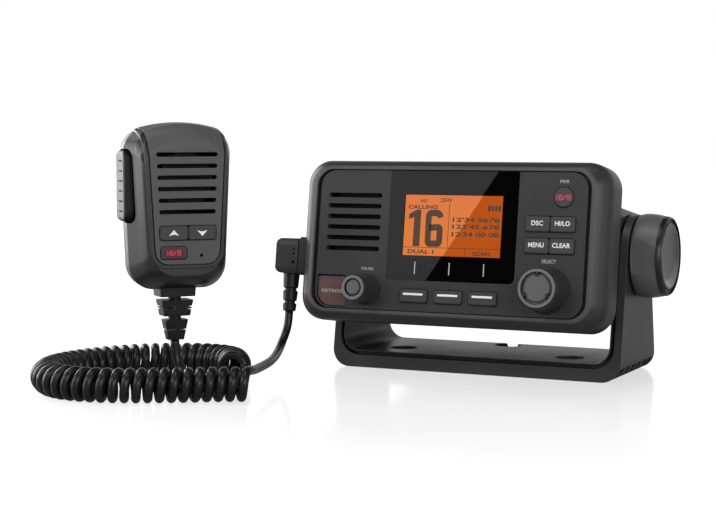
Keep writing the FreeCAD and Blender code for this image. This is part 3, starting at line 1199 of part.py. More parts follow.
def make_ptt():
    z0, z1 = PTT_Z
    y0, y1 = PTT_Y
    back = -PTT_OUT + PTT_STEM[1] - 0.8
    lever = slab(-PTT_OUT, back, z0, z1, (PTT_CORNER, PTT_CORNER), y0, y1)
    lever = lever.common(side_slab(y0, y1, z0, z1, PTT_ROUND, -PTT_OUT, back))
    dot_y = (y0 + y1) / 2 - PTT_DOT_FORWARD
    for i in range(PTT_DOTS):
        z = (z0 + z1) / 2 + (i - (PTT_DOTS - 1) / 2) * PTT_DOT_PITCH
        lever = lever.cut(cylinder(PTT_DOT_R, (-PTT_OUT - 1, dot_y, z), (-PTT_OUT + PTT_DOT_R, dot_y, z)))
    x, z = -PTT_OUT + PTT_HINGE_IN, z0 + PTT_HINGE_RISE
    pivot = cylinder(PTT_HINGE_R, (x, y0 - PTT_HINGE_PROUD, z), (x, y1 + PTT_HINGE_PROUD, z))
    stem = box(-PTT_OUT + PTT_STEM[0], -PTT_OUT + PTT_STEM[1], -1.0, 4.0, z1 - 12.0, z1 - 6.0)
    add_mic("mic_ptt_lever", lever.fuse([pivot, stem]))


def make_hanger():
    """Button that hangs the microphone in its clip."""
    stem, neck, waist = HANGER_NECK_R - 1.5, HANGER_NECK_R, HANGER_NECK_R - 0.8
    button = turned([(0, -2 * MIC_WALL), (stem, -2 * MIC_WALL), (stem, 0), (neck, 0), (waist, 1.2),
                     (waist, HANGER_L - 3.4), (HANGER_R, HANGER_L - 2.2), (HANGER_R, HANGER_L - 0.8),
                     (HANGER_R - 0.8, HANGER_L), (0, HANGER_L)], (0, MIC_REAR, HANGER_Z), (0, 1, 0))
    add_mic("mic_hanger_button", button)


def relief_block(top, bottom, top_half, bottom_half):
    def ring(z, half):
        deep = half * MIC_RELIEF_FLAT
        radius = min(1.6, deep * 0.4)
        wire = outline(-half, half, -deep, deep, (radius, radius), 0)
        wire.rotate(Vector(0, 0, 0), Vector(1, 0, 0), 90)
        wire.translate(Vector(0, 0, z))
        return wire
    return Part.makeLoft([ring(-top, top_half), ring(-bottom, bottom_half)], True, True)


def make_mic_relief():
    """Stepped strain relief; its first block follows the underside of the case."""
    body = cylinder(MIC_RELIEF_NECK, (0, 0, 0), (0, 0, -MIC_RELIEF_L))
    for block in MIC_RELIEF_BLOCKS:
        body = body.fuse(relief_block(*block))
    for z, half in MIC_RELIEF_SLITS:
        low, high = -z - MIC_RELIEF_SLIT_H / 2, -z + MIC_RELIEF_SLIT_H / 2
        core = half * MIC_RELIEF_CORE
        for x0, x1 in ((-half, -core), (core, half)):
            body = body.cut(box(x0, x1, -half, half, low, high))
    body.translate(Vector(0, MIC_RELIEF_Y, 0))
    add_mic("mic_strain_relief", body.cut(mic_body(0)))


def make_boards():
    board = box(-BOARD_HALF, BOARD_HALF, *BOARD_Y, BOARD_Z, BOARD_Z + PCB_T)
    add_head("main_board", board)
    (columns, rows), foot = SHIELD_HOLES, BOARD_Z + PCB_T
    top = foot + SHIELD_H
    shield = box(*SHIELD_X, *SHIELD_Y, foot, top)
    across, along = (SHIELD_X[1] - SHIELD_X[0]) / columns, (SHIELD_Y[1] - SHIELD_Y[0]) / rows
    for i in range(columns):
        for j in range(rows):
            x, y = SHIELD_X[0] + across * (i + 0.5), SHIELD_Y[0] + along * (j + 0.5)
            shield = shield.cut(cylinder(SHIELD_HOLE_R, (x, y, top - 2.0), (x, y, top + 1.0)))
    add_head("radio_shield", shield)


def main():
    make_bracket()
    make_tilt_discs()
    make_clamp(1, "right")
    make_clamp(-1, "left")
    make_bezel()
    make_gasket()
    make_housing_flange()
    make_housing()
    make_housing_screws()
    make_inserts()
    make_antenna_socket()
    make_power_inlet()
    make_panel()
    make_lens()
    make_lcd()
    make_speaker()
    make_key_board()
    make_encoder("volume_encoder", VOLUME_X, VOLUME_Z, VOLUME_LENGTH)
    make_encoder("select_encoder", SELECT_X, SELECT_Z, SELECT_LENGTH)
    make_boards()
    make_keys()
    make_knob("volume", VOLUME_X, VOLUME_Z, VOLUME_BASE_R, VOLUME_FACE_R, VOLUME_LENGTH, VOLUME_RING_R,
              VOLUME_BUTTON_R, ())
    make_knob("select", SELECT_X, SELECT_Z, SELECT_BASE_R, SELECT_FACE_R, SELECT_LENGTH, SELECT_RING_R,
              SELECT_BUTTON_R, (90, 210, 330))
    make_cover()
    make_distress_button()
    make_socket_and_plug()
    make_cord()
    make_mic_case()
    make_mic_screws()
    make_mic_keys()
    make_mic_insides()
    make_ptt()
    make_hanger()
    make_mic_relief()
    os.makedirs("parts", exist_ok=True)
    for name, shape in PARTS.items():
        shape.exportStep(f"parts/{name}.step")
        size = shape.BoundBox
        print(f"{name}: {len(shape.Solids)} solid(s), {shape.Volume / 1000:.2f} cm3, valid {shape.isValid()}, "
              f"{size.XLength:.1f} x {size.YLength:.1f} x {size.ZLength:.1f} mm")


main()
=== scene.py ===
"""Looks of a fixed-mount marine radio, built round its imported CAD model.

Lengths are metres in the model's frame: +X right, +Y to the rear, +Z up, origin under the bracket.
Marks on the head are placed in the panel's frame and those on the microphone in its own frame, both
in millimetres, and the matrices HEAD and MIC carry them to their places. An area of a mark is
(x0, x1, z0, z1), and a loop is a list of (x, z) points.
"""
import json
import math

import bmesh
import bpy
from mathutils import Matrix, Vector


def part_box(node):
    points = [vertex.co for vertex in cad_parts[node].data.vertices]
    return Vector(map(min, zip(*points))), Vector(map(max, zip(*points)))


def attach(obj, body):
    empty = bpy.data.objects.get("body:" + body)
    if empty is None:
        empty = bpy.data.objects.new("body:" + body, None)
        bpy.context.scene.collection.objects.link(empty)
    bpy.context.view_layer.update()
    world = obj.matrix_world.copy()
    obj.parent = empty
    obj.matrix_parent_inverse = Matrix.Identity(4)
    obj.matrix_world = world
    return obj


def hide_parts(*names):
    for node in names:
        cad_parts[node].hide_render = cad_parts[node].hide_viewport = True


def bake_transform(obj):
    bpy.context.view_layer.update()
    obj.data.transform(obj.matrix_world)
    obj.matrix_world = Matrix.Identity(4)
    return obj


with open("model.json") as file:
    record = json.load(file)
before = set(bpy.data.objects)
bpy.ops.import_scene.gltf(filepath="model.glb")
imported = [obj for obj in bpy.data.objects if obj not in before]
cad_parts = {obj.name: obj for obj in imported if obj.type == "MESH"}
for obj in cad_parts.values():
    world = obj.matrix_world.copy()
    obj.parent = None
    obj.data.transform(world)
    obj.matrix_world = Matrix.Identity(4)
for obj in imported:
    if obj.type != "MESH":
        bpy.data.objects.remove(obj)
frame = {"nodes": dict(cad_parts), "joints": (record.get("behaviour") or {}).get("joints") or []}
nodes = frame["nodes"]
joints = {joint["name"]: joint for joint in frame["joints"]}
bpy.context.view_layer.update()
scene = bpy.context.scene

MM = 0.001
UP = Vector((0, 0, 1))
PLAIN_WHITE = (1, 1, 1, 1)

# ---- frames in millimetres: the panel's, the microphone's and the model's
TILT = math.radians(8.44)
PANEL_AHEAD = 66.2         # from the tilt axis to the panel's face
PANEL_BELOW = 0.9          # from the tilt axis to the panel's centre
PIVOT = Vector(joints["head_tilt"]["pos_m"])
HEAD = (Matrix.Translation(PIVOT) @ Matrix.Rotation(-TILT, 4, "X") @ Matrix.Scale(MM, 4)
        @ Matrix.Translation((0, -PANEL_AHEAD, -PANEL_BELOW)))
MIC_YAW = math.radians(49.5)
MIC_FOOT = Vector((-0.110, -0.150, 0.0517))
MIC = Matrix.Translation(MIC_FOOT) @ Matrix.Rotation(MIC_YAW, 4, "Z") @ Matrix.Scale(MM, 4)
MODEL = Matrix.Scale(MM, 4)  # the model's own frame

# ---- camera
CAMERA_AT = Vector((0.33216, -0.85689, 0.12840))
CAMERA_RIGHT = Vector((0.90020, 0.43548, -0.00085))
CAMERA_UP = Vector((-0.03318, 0.07053, 0.99696))
CAMERA_BACK = Vector((0.43421, -0.89743, 0.07794))
CAMERA_LENS = 84.12
SENSOR = 36.0

# ---- zones of painted highlight and painted shade
CREST_HIGHLIGHT_Y = (-0.5, 0.2)      # depths in HEAD between which the painted highlight on the bezel's crest fades
# painted highlight: the lighter colour of the bezel's crest
CREST_HIGHLIGHT_COLOR = (0.065, 0.065, 0.066)
LEVER_FLANK_SHADE_X = (-27.3, -27.8)   # in MIC, where the painted shade on the lever's flank, next to the case, ends
CLAMP_RIM_SHADE_X = (96.9, 96.5)  # in MODEL, to either side, where the painted shade on a clamp knob's rim starts
# painted shade: the black on the lever's flank and on the clamp knobs' rims
PAINTED_SHADE_COLOR = (0.008, 0.008, 0.008)

# ---- marks on the head, in millimetres of the panel's frame
PRINT = 0.04               # thickness of a printed mark
BOLD = 0.02                # outline that thickens the small printed words
SOFT_KEYS = ("soft_key_left", "soft_key_middle", "soft_key_right")
SOFT_KEY_FACE = -1.3
SOFT_KEY_BAR = (11.2, 1.1, 1.05)  # width, height and lift over the key's middle
SOFT_KEY_BAR_CORNER = 0.4
MENU_KEY_FACE = -1.1
KEY_WORDS = {              # word and its width
    "key_call": ("DSC", 6.2), "key_power_level": ("HI/LO", 7.8),
    "key_menu": ("MENU", 8.2), "key_clear": ("CLEAR", 9.4),
}
KEY_WORD = (2.4, 0.6)      # height and lift over the key's middle
CHANNEL_KEY_FACE = -0.9
CHANNEL_DIGITS = (7.4, 2.3)  # width and height
PANEL_WORDS = {            # word and its area
    "power_word": ("PWR", (59.3, 64.2, 30.9, 32.7)),
    "volume_word": ("VOL/SQ", (-47.9, -40.6, -16.3, -14.5)),
    "select_word": ("SELECT", (51.8, 59.4, -9.3, -7.5)),
}
TICK_X, TICK_Z, TICK_WIDE = (-17.2, 2.0, 21.0), (-17.2, -10.9), 0.5  # over the soft keys
KNOB_RINGS = {             # centre, depth of the face, inner and outer radius
    "volume_knob": ((-44.5, -26.2), -15.7, 4.8, 6.3),
    "select_knob": ((55.5, -22.8), -16.1, 8.25, 9.6),
}
COVER_FACE = 0.9
COVER_WORD = (-70.6, -58.6, -28.5, -26.8)  # area
STRIPE_X, STRIPE_Z, STRIPE_HIGH = (-69.2, -59.8), (-22.4, -24.6, -30.9, -33.0), 0.7
PLUG_HOLES = (             # x, z and radius
    (-90.1, -6.2, 0.55), (-90.1, -8.5, 0.55), (-90.1, -13.1, 0.9),
)
PLUG_HOLE_BOTTOM = 4.1
THREAD_AT = (38.0, 119.4, 2.0)  # in the middle of the first turn
THREAD_R, THREAD_RIDGE_R, THREAD_TURNS = 7.8, 0.35, 10

# ---- display, in millimetres of the panel's frame
LCD_X = (-25.0, 29.4)
LCD_Z = (-7.5, 24.1)
LCD_FACE = 1.3             # behind the panel's face
PAINTED_GLARE_LINE = ((-10.9, -20.6), (25.9, 36.2))  # a painted reflection makes the glass and the display lighter above and left of this line
PAINTED_GLARE_EDGE = 0.35          # distance from the line over which the painted reflection fades
LCD_WORDS = {              # word, area and how bold it is
    "lcd_channel_name": ("CALLING", (-23.2, -6.7, 16.8, 18.9), 0.03),
    "lcd_region": ("INT", (-16.4, -12.7, 20.2, 21.8), 0.02),
    "lcd_power": ("25W", (-5.4, 1.2, 20.5, 22.6), 0.02),
    "lcd_row_1": ("12'34.5678", (1.9, 27.8, 10.4, 12.8), 0.03),
    "lcd_row_2": ("123'45.678", (1.9, 27.8, 6.8, 9.2), 0.03),
    "lcd_row_3": ("12:34 00 00", (1.9, 27.8, 2.9, 5.3), 0.03),
    "lcd_label_left": ("DUAL 1", (-22.2, -7.8, -6.5, -4.3), 0.03),
    "lcd_label_right": ("SCAN", (14.0, 23.4, -6.7, -4.5), 0.03),
}
LCD_ONE = [(-19.7, -2.7), (-15.9, -2.7), (-15.9, 16.4), (-18.4, 16.4), (-22.6, 14.0), (-22.6, 11.4),
           (-19.7, 12.4)]
LCD_SIX, LCD_PEN = (-11.4, -5.0, -1.0, 14.7), 3.3  # area and width of the stroke
LCD_LINES = (              # areas of the lines between number, rows and labels
    (-0.4, -0.1, -3.2, 20.0), (*LCD_X, -3.35, -3.05), (9.5, 9.8, -7.4, -3.35),
)
BATTERY_X, BATTERY_Z, BATTERY_WIDE = (21.0, 22.9, 24.8, 26.7), (16.3, 19.2), 1.4

# ---- marks on the microphone, in millimetres of its frame
MIC_KEY_FACE = -19.5
ARROW = ((-2.6, -1.2), (0.0, -0.6), (2.6, -1.2), (0.0, 1.6))  # points up
CALL_GLOW, CALL_GLOW_CORNER = (10.4, 4.0), 1.4  # width and height, and round corners
CALL_DIGITS = (7.0, 2.2)   # width and height
LEVER_FACE = -28.2
GROOVE_Z = [51.1 + 4.9 * step for step in (-2.5, -1.5, -0.5, 0.5, 1.5, 2.5)]
GROOVE_Y = (-3.2, 3.4)     # across the lever, counted to the front
GROOVE_HIGH = 0.55

# ---- pen strokes in a unit square
SIX = [(1.05, 0.86), (0.95, 1.0), (0.5, 1.01), (-0.03, 1.0), (0.0, 0.67), (0.0, 0.25), (0.0, -0.02),
       (0.5, 0.0), (1.03, -0.02), (1.0, 0.27), (1.03, 0.55), (0.53, 0.53), (0.06, 0.51)]
NINE = [(1 - across, 1 - up) for across, up in SIX]
CHANNELS = (               # 16/9 in strokes, each with its start and end in the width
    ([(0, 0), (0, 1)], 0.04, 0.06), (SIX, 0.20, 0.42),
    ([(0, 0), (1, 1)], 0.52, 0.64), (NINE, 0.76, 0.98),
)
CHANNELS_PEN = 0.5         # width of the strokes in millimetres

# ---- cords
WIRE = 0.0046
CORD_FROM_HEAD = (-94.3, 10.4, -39.3)   # in the panel's frame
CORD_FROM_MIC = (0.0, 4.0, -26.0)       # in the microphone's frame
PLUG_STRAIGHT = 8.0
MIC_STRAIGHT = 4.6
HELIX_R = 0.0064
TURNS = 48.25
POINTS_PER_TURN = 16
RING_STEP = 0.0012         # least distance between the rings of a cord's mesh
PLUG_RUN = [
    (-0.0946, -0.0678, 0.0173), (-0.0926, -0.0756, 0.0133), (-0.0874, -0.0896, 0.0115),
    (-0.0806, -0.1075, 0.0112), (-0.0742, -0.1290, 0.0116), (-0.0680, -0.1470, 0.0128),
    (-0.0632, -0.1585, 0.0144),
]
COIL_RUN = [
    (-0.0614, -0.1655, 0.0087), (-0.0742, -0.1720, 0.0087), (-0.0880, -0.1820, 0.0087),
    (-0.1060, -0.1920, 0.0087), (-0.1260, -0.2000, 0.0087), (-0.1465, -0.1990, 0.0087),
    (-0.1625, -0.1880, 0.0087), (-0.1717, -0.1710, 0.0087), (-0.1732, -0.1520, 0.0087),
    (-0.1683, -0.1335, 0.0087), (-0.1590, -0.1165, 0.0087), (-0.1450, -0.1030, 0.0087),
    (-0.1285, -0.0960, 0.0087), (-0.1125, -0.0975, 0.0087), (-0.1010, -0.1060, 0.0087),
    (-0.0960, -0.1195, 0.0087),
]
MIC_RUN = [
    (-0.1122, -0.1472, 0.0139), (-0.1072, -0.1479, 0.0088), (-0.1004, -0.1460, 0.0050),
    (-0.0945, -0.1400, 0.0036), (-0.0905, -0.1310, 0.0034), (-0.0893, -0.1225, 0.0046),
]

# ---- shading of the CAD nodes
WELD = 0.000002            # distance at which vertices are joined
SHARP_EDGE = math.radians(32)
CURVED = ("front_bezel",)  # shaded evenly, with no weight on its large faces
MOTTLING = 0.12            # share by which a moulded colour varies

# ---- stage and light
WORLD_LIGHT = 0.24         # of the world on matt surfaces
ZENITH = 0.05              # brightness overhead in gloss, where it is 1 at the horizon behind
ZENITH_RISE = (0.15, 0.7)  # heights between which it falls to that
FRONT = 0.40               # brightness in gloss at the horizon in front
FRONT_REACH = (-0.5, 0.3)  # depths between which it rises from that
FLOOR_HALF = 6.0           # from its middle to its sides
FLOOR_COLOR = 0.25         # for the light that it throws back at the object
FLOOR_WHITE = 1.31         # brings an empty floor to white, with what it reflects and scatters
FLOOR_SHINE = 0.42         # share of the reflection under the object
SHINE_FADES = (0.10, 0.55)  # distances from the origin between which the reflection goes
FLOOR_ROUGHNESS = 0.14     # of the reflection
FLOOR_SHADOW = 0.17        # share of the object's shadow
FLOOR_IN_GLOSS = 0.2       # share of the white floor in what gloss shows
LIT = Vector((0, -0.05, 0.06))
SOFTBOXES = {  # azimuth from the front to the right, elevation, distance, width, height, radiance
    "front": (-24, 32, 1.3, 0.60, 0.35, 7.0),
    "front_left": (-62, 12, 1.3, 0.45, 0.70, 8.5),
    "front_right": (43, 16, 1.3, 0.75, 0.50, 7.2),
    "left": (-105, 15, 1.2, 0.40, 0.80, 8.0),
    "right": (80, 12, 1.2, 0.45, 0.70, 2.0),
    "top": (0, 76, 1.1, 0.90, 0.50, 2.8),
}


def make_camera():
    data = bpy.data.cameras.new("camera")
    data.sensor_width = SENSOR
    data.lens = CAMERA_LENS
    camera = bpy.data.objects.new("camera", data)
    scene.collection.objects.link(camera)
    turn = Matrix((CAMERA_RIGHT, CAMERA_UP, CAMERA_BACK)).transposed()
    camera.matrix_world = Matrix.Translation(CAMERA_AT) @ turn.to_4x4()
    scene.camera = camera


# ---- node tools
def give(slot, value):
    """Sets a node's input to a plain value, or links it to a socket."""
    if isinstance(value, bpy.types.NodeSocket):
        slot.id_data.links.new(value, slot)
    else:
        slot.default_value = value


def fill(node, **values):
    """Gives a node its properties and inputs by name."""
    for key, value in values.items():
        if hasattr(node, key):
            setattr(node, key, value)
        else:
            give(node.inputs[key.replace("_", " ")], value)
    return node


def add(tree, kind, **values):
    """A new node with its properties and inputs given by name."""
    return fill(tree.nodes.new(kind), **values)


def maths(tree, operation, *values):
    """Number socket with the result of an operation on numbers and number sockets."""
    node = add(tree, "ShaderNodeMath", operation=operation)
    for slot, value in zip(node.inputs, values):
        give(slot, value)
    return node.outputs[0]


def largest(tree, *sockets):
    """Number socket with the largest of those numbers."""
    result = sockets[0]
    for socket in sockets[1:]:
        result = maths(tree, "MAXIMUM", result, socket)
    return result


def ranged(tree, value, low, high, start=0.0, end=1.0):
    """Number socket that goes from low to high while the value goes from start to end."""
    node = add(tree, "ShaderNodeMapRange", Value=value, From_Min=start, From_Max=end,
               To_Min=low, To_Max=high)
    return node.outputs["Result"]


def blended(tree, factor, low, high):
    """Colour socket that goes from low to high, which are colours or sockets, with the factor."""
    mix = add(tree, "ShaderNodeMix", data_type="RGBA", Factor=factor)
    for name, color in (("A", low), ("B", high)):
        give(mix.inputs[name], (*color, 1) if isinstance(color, tuple) else color)
    return mix.outputs["Result"]


def mixed(tree, share, first, second):
    """Node with a share of the second shader node and the rest of the first."""
    node = add(tree, "ShaderNodeMixShader", Fac=share)
    give(node.inputs[1], first.outputs[0])
    give(node.inputs[2], second.outputs[0])
    return node


def noise(tree, scale, detail, roughness=0.5):
    """Number socket of a cloudy pattern with that many cells for each metre."""
    where = add(tree, "ShaderNodeTexCoord").outputs["Object"]
    texture = add(tree, "ShaderNodeTexNoise", Vector=where, Scale=scale, Detail=detail,
                  Roughness=roughness)
    return texture.outputs["Fac"]


def place(tree, home):
    """Node whose outputs X, Y and Z are the place in the frame home, in millimetres."""
    back = home.inverted()
    where = add(tree, "ShaderNodeTexCoord").outputs["Object"]
    mapping = add(tree, "ShaderNodeMapping", vector_type="POINT", Vector=where,
                  Location=back.translation, Rotation=back.to_euler(),
                  Scale=(1 / MM, 1 / MM, 1 / MM))
    return add(tree, "ShaderNodeSeparateXYZ", Vector=mapping.outputs["Vector"])


def painted_glare(tree, axes):
    """Number socket that is 1 in the painted glare, above and left of its line, and 0 elsewhere."""
    (x0, z0), (x1, z1) = PAINTED_GLARE_LINE
    length = math.hypot(x1 - x0, z1 - z0)
    across, rise = -(z1 - z0) / length, (x1 - x0) / length
    from_x = maths(tree, "MULTIPLY_ADD", axes.outputs["X"], across, -across * x0 - rise * z0)
    distance = maths(tree, "MULTIPLY_ADD", axes.outputs["Z"], rise, from_x)
    return ranged(tree, distance, 0.0, 1.0, -PAINTED_GLARE_EDGE, PAINTED_GLARE_EDGE)


# ---- materials
def new_material(name, **values):
    """A material whose Principled shader has those input values: (material, tree, shader)."""
    material = bpy.data.materials.new(name)
    material.use_nodes = True
    tree = material.node_tree
    return material, tree, fill(tree.nodes["Principled BSDF"], **values)


def scaled(color, factor):
    return tuple(channel * factor for channel in color)


def moulded(name, color, roughness, gloss=0.35, grain=0.35, depth=0.012, edge=0.35):
    """Plastic or rubber with spark-eroded grain, faint mottling and soft edges (sizes in mm)."""
    material, tree, shader = new_material(name, Specular_IOR_Level=gloss)
    cloud = noise(tree, 60.0, 4.0, 0.55)
    rounding = add(tree, "ShaderNodeBevel", samples=4, Radius=edge * MM)
    bump = add(tree, "ShaderNodeBump", Strength=0.6, Distance=depth * MM,
               Height=noise(tree, 1 / (grain * MM), 3.0, 0.6), Normal=rounding.outputs["Normal"])
    tint = blended(tree, cloud, scaled(color, 1 - MOTTLING), scaled(color, 1 + MOTTLING))
    fill(shader, Base_Color=tint, Normal=bump.outputs["Normal"],
         Roughness=ranged(tree, cloud, roughness - 0.04, roughness + 0.06))
    return material


def metal(name, color, roughness):
    """Metal with faint turning or rolling marks."""
    material, tree, shader = new_material(name, Metallic=1.0)
    grain = noise(tree, 900.0, 4.0, 0.6)
    rounding = add(tree, "ShaderNodeBevel", samples=4, Radius=0.2 * MM)
    fill(shader, Base_Color=blended(tree, grain, scaled(color, 0.85), color),
         Normal=rounding.outputs["Normal"],
         Roughness=ranged(tree, grain, roughness - 0.06, roughness + 0.08))
    return material


def ink(name, color, glow=0.0, gloss=0.2):
    """Screen-printed ink with a slightly uneven coat."""
    material, tree, shader = new_material(name, Roughness=0.5, Specular_IOR_Level=gloss)
    tint = blended(tree, noise(tree, 4000.0, 2.0), scaled(color, 0.86), color)
    fill(shader, Base_Color=tint)
    if glow:
        fill(shader, Emission_Color=tint, Emission_Strength=glow)
    return material


def display():
    """Backlit orange display under glass, a little uneven, with a painted reflection that makes it
    paler above and left of the glare line.
    """
    material, tree, shader = new_material(
        "lcd_glow", Base_Color=(0.02, 0.004, 0.001, 1), Roughness=0.25, Specular_IOR_Level=0.0,
        Emission_Strength=0.85)
    axes = place(tree, HEAD)
    plain = blended(tree, noise(tree, 30.0, 1.0), (0.50, 0.085, 0.007), (0.60, 0.110, 0.010))
    height = ranged(tree, axes.outputs["Z"], 0.0, 1.0, *LCD_Z)
    # painted reflection: the display's paler colours in the glare
    pale = blended(tree, height, (0.86, 0.235, 0.050), (0.84, 0.230, 0.075))
    fill(shader, Emission_Color=blended(tree, painted_glare(tree, axes), plain, pale))
    return material


def window():
    """Gloss black window that is clear in front of the display, with a painted reflection that
    makes it paler above and left of the glare line.
    """
    material, tree, shader = new_material("window", Specular_IOR_Level=0.02)
    axes = place(tree, HEAD)
    # painted reflection: a lighter black in the glare
    tint = blended(tree, painted_glare(tree, axes), (0.001, 0.001, 0.001), (0.029, 0.029, 0.029))
    inside = [maths(tree, "COMPARE", axes.outputs[axis], (low + high) / 2, (high - low) / 2)
              for axis, (low, high) in (("X", LCD_X), ("Z", LCD_Z))]
    clear = maths(tree, "MULTIPLY", *inside)
    fill(shader, Base_Color=tint, Alpha=maths(tree, "SUBTRACT", 1.0, clear),
         Roughness=ranged(tree, noise(tree, 700.0, 3.0), 0.04, 0.10))
    return material


def recolour(material, home, axis, zone, color):
    """Gives a material another colour before the zone's start, and none of it past its end."""
    tree = material.node_tree
    shader = tree.nodes["Principled BSDF"]
    share = ranged(tree, place(tree, home).outputs[axis], 1.0, 0.0, *zone)
    plain = shader.inputs["Base Color"].links[0].from_socket
    fill(shader, Base_Color=blended(tree, share, plain, color))


CASE = moulded("case_plastic", (0.015, 0.015, 0.0152), 0.40, gloss=0.18, edge=0.5)
BEZEL = moulded("bezel_plastic", (0.025, 0.025, 0.0254), 0.36, gloss=0.20, depth=0.008)
MIC_CASE = moulded("mic_plastic", (0.010, 0.010, 0.0101), 0.32, gloss=0.42, edge=0.5)
MIC_FACE = moulded("mic_face_plastic", (0.068, 0.068, 0.0690), 0.44, gloss=0.22)
PANEL = moulded("panel_plastic", (0.032, 0.032, 0.0325), 0.48, gloss=0.18)
BRACKET = moulded("bracket_plastic", (0.031, 0.031, 0.0315), 0.36, gloss=0.26, grain=0.45,
                  depth=0.02)
KNOB = moulded("knob_plastic", (0.024, 0.024, 0.0243), 0.36, gloss=0.20)
BUTTON = moulded("button_plastic", (0.095, 0.095, 0.0964), 0.50, gloss=0.20)
RING = moulded("ring_lacquer", (0.140, 0.140, 0.1421), 0.40, gloss=0.20, edge=0.1)
CLAMP = moulded("clamp_plastic", (0.095, 0.095, 0.0964), 0.34, gloss=0.35)
CAP = moulded("cap_plastic", (0.050, 0.050, 0.0507), 0.22, gloss=0.45, depth=0.004)
KEY = moulded("key_rubber", (0.044, 0.044, 0.0447), 0.55, gloss=0.20, edge=0.25)
CORD = moulded("cord_jacket", (0.006, 0.006, 0.0062), 0.34, gloss=0.25, grain=0.8, depth=0.006,
               edge=0.1)
RELIEF = moulded("relief_rubber", (0.008, 0.008, 0.0082), 0.40, gloss=0.22)
LEVER = moulded("lever_plastic", (0.100, 0.100, 0.1015), 0.48, gloss=0.20)
CONE = moulded("speaker_cone", (0.008, 0.008, 0.008), 0.75, gloss=0.10, grain=0.6, depth=0.03)
RED_KEY = moulded("red_key", (0.090, 0.012, 0.016), 0.35, gloss=0.20, edge=0.25)
COVER = moulded("cover_tint", (0.112, 0.068, 0.068), 0.25, gloss=0.25, edge=0.25)
BOARD = moulded("circuit_board", (0.02, 0.16, 0.07), 0.4, grain=1.2)
STEEL = metal("steel", (0.55, 0.55, 0.56), 0.32)
BRASS = metal("plated_brass", (0.72, 0.66, 0.52), 0.30)
WHITE = ink("white_ink", (0.80, 0.80, 0.80))
GREY_INK = ink("grey_ink", (0.33, 0.33, 0.33))
PALE_INK = ink("pale_ink", (0.50, 0.48, 0.48))
RED_INK = ink("red_ink", (0.50, 0.045, 0.070), glow=0.20)
STRIPE_INK = ink("stripe_ink", (0.170, 0.045, 0.050))
# painted shade: matt black laid in the bottoms of grooves and holes
PAINTED_SHADE_INK = ink("painted_shade_black", (0.004, 0.004, 0.004), gloss=0.0)
LCD_INK = ink("lcd_ink", (0.070, 0.042, 0.027))
LCD = display()
WINDOW = window()
# painted highlight along the bezel's crest
recolour(BEZEL, HEAD, "Y", CREST_HIGHLIGHT_Y, CREST_HIGHLIGHT_COLOR)
# painted shade on the lever's flank, where it sinks into the case
recolour(LEVER, MIC, "X", LEVER_FLANK_SHADE_X, PAINTED_SHADE_COLOR)
# painted shade on the outer rim of each clamp knob
for side in (1, -1):
    recolour(CLAMP, MODEL, "X", [side * x for x in CLAMP_RIM_SHADE_X], PAINTED_SHADE_COLOR)

FINISH = {                 # the CAD nodes in each material
    BEZEL: ["front_bezel"],
    CASE: ["rear_housing", "housing_flange", "mic_socket", "power_inlet"],
    MIC_CASE: ["mic_front_case", "mic_rear_case"],
    MIC_FACE: ["mic_face_plate"],
    PANEL: ["front_panel"],
    BRACKET: ["mount_bracket", "tilt_discs"],
    KNOB: ["volume_knob", "select_knob", "mic_plug"],
    BUTTON: ["volume_button", "select_button"],
    CLAMP: ["clamp_knob_right", "clamp_knob_left"],
    CAP: ["clamp_cap_right", "clamp_cap_left"],
    KEY: [*SOFT_KEYS, *KEY_WORDS, "key_channel_sixteen", "mic_key_up", "mic_key_down",
          "mic_key_sixteen", "case_gasket"],
    CONE: ["speaker", "mic_speaker"],
    RED_KEY: ["distress_button"],
    COVER: ["distress_cover"],
    RELIEF: ["plug_strain_relief", "mic_strain_relief"],
    LEVER: ["mic_ptt_lever"],
    BOARD: ["key_board", "main_board", "mic_board"],
    STEEL: ["radio_shield", "housing_screws", "mic_screws", "clamp_stud_right",
            "clamp_stud_left", "cover_hinge_pin", "mic_hanger_button", "volume_encoder",
            "select_encoder"],
    BRASS: ["pivot_inserts", "antenna_socket", "power_pins"],
    LCD: ["lcd_module"],
    WINDOW: ["display_lens"],
}


def dress():
    """A material for each CAD node that stays in view."""
    for material, names in FINISH.items():
        for name in names:
            mesh = nodes[name].data
            mesh.materials.clear()
            mesh.materials.append(material)


def make_smooth_shading():
    """Modifiers that join each CAD node's faces and shade it smooth between its sharp edges."""
    group = bpy.data.node_groups.new("sharp_edges", "GeometryNodeTree")
    for way in ("INPUT", "OUTPUT"):
        group.interface.new_socket("Geometry", in_out=way, socket_type="NodeSocketGeometry")
    start, end = group.nodes.new("NodeGroupInput"), group.nodes.new("NodeGroupOutput")
    weld = add(group, "GeometryNodeMergeByDistance", Geometry=start.outputs[0], Distance=WELD)
    angle = add(group, "GeometryNodeInputMeshEdgeAngle").outputs["Unsigned Angle"]
    sharp = add(group, "FunctionNodeCompare", operation="GREATER_THAN", A=angle, B=SHARP_EDGE)
    shade = add(group, "GeometryNodeSetMeshNormal", mode="SHARPNESS", Remove_Custom=True,
                Mesh=weld.outputs["Geometry"], Edge_Sharpness=sharp.outputs["Result"])
    give(end.inputs[0], shade.outputs["Mesh"])
    for name, node in nodes.items():
        node.modifiers.new("sharp_edges", "NODES").node_group = group
        if name not in CURVED:
            node.modifiers.new("flat_faces", "WEIGHTED_NORMAL").keep_sharp = True


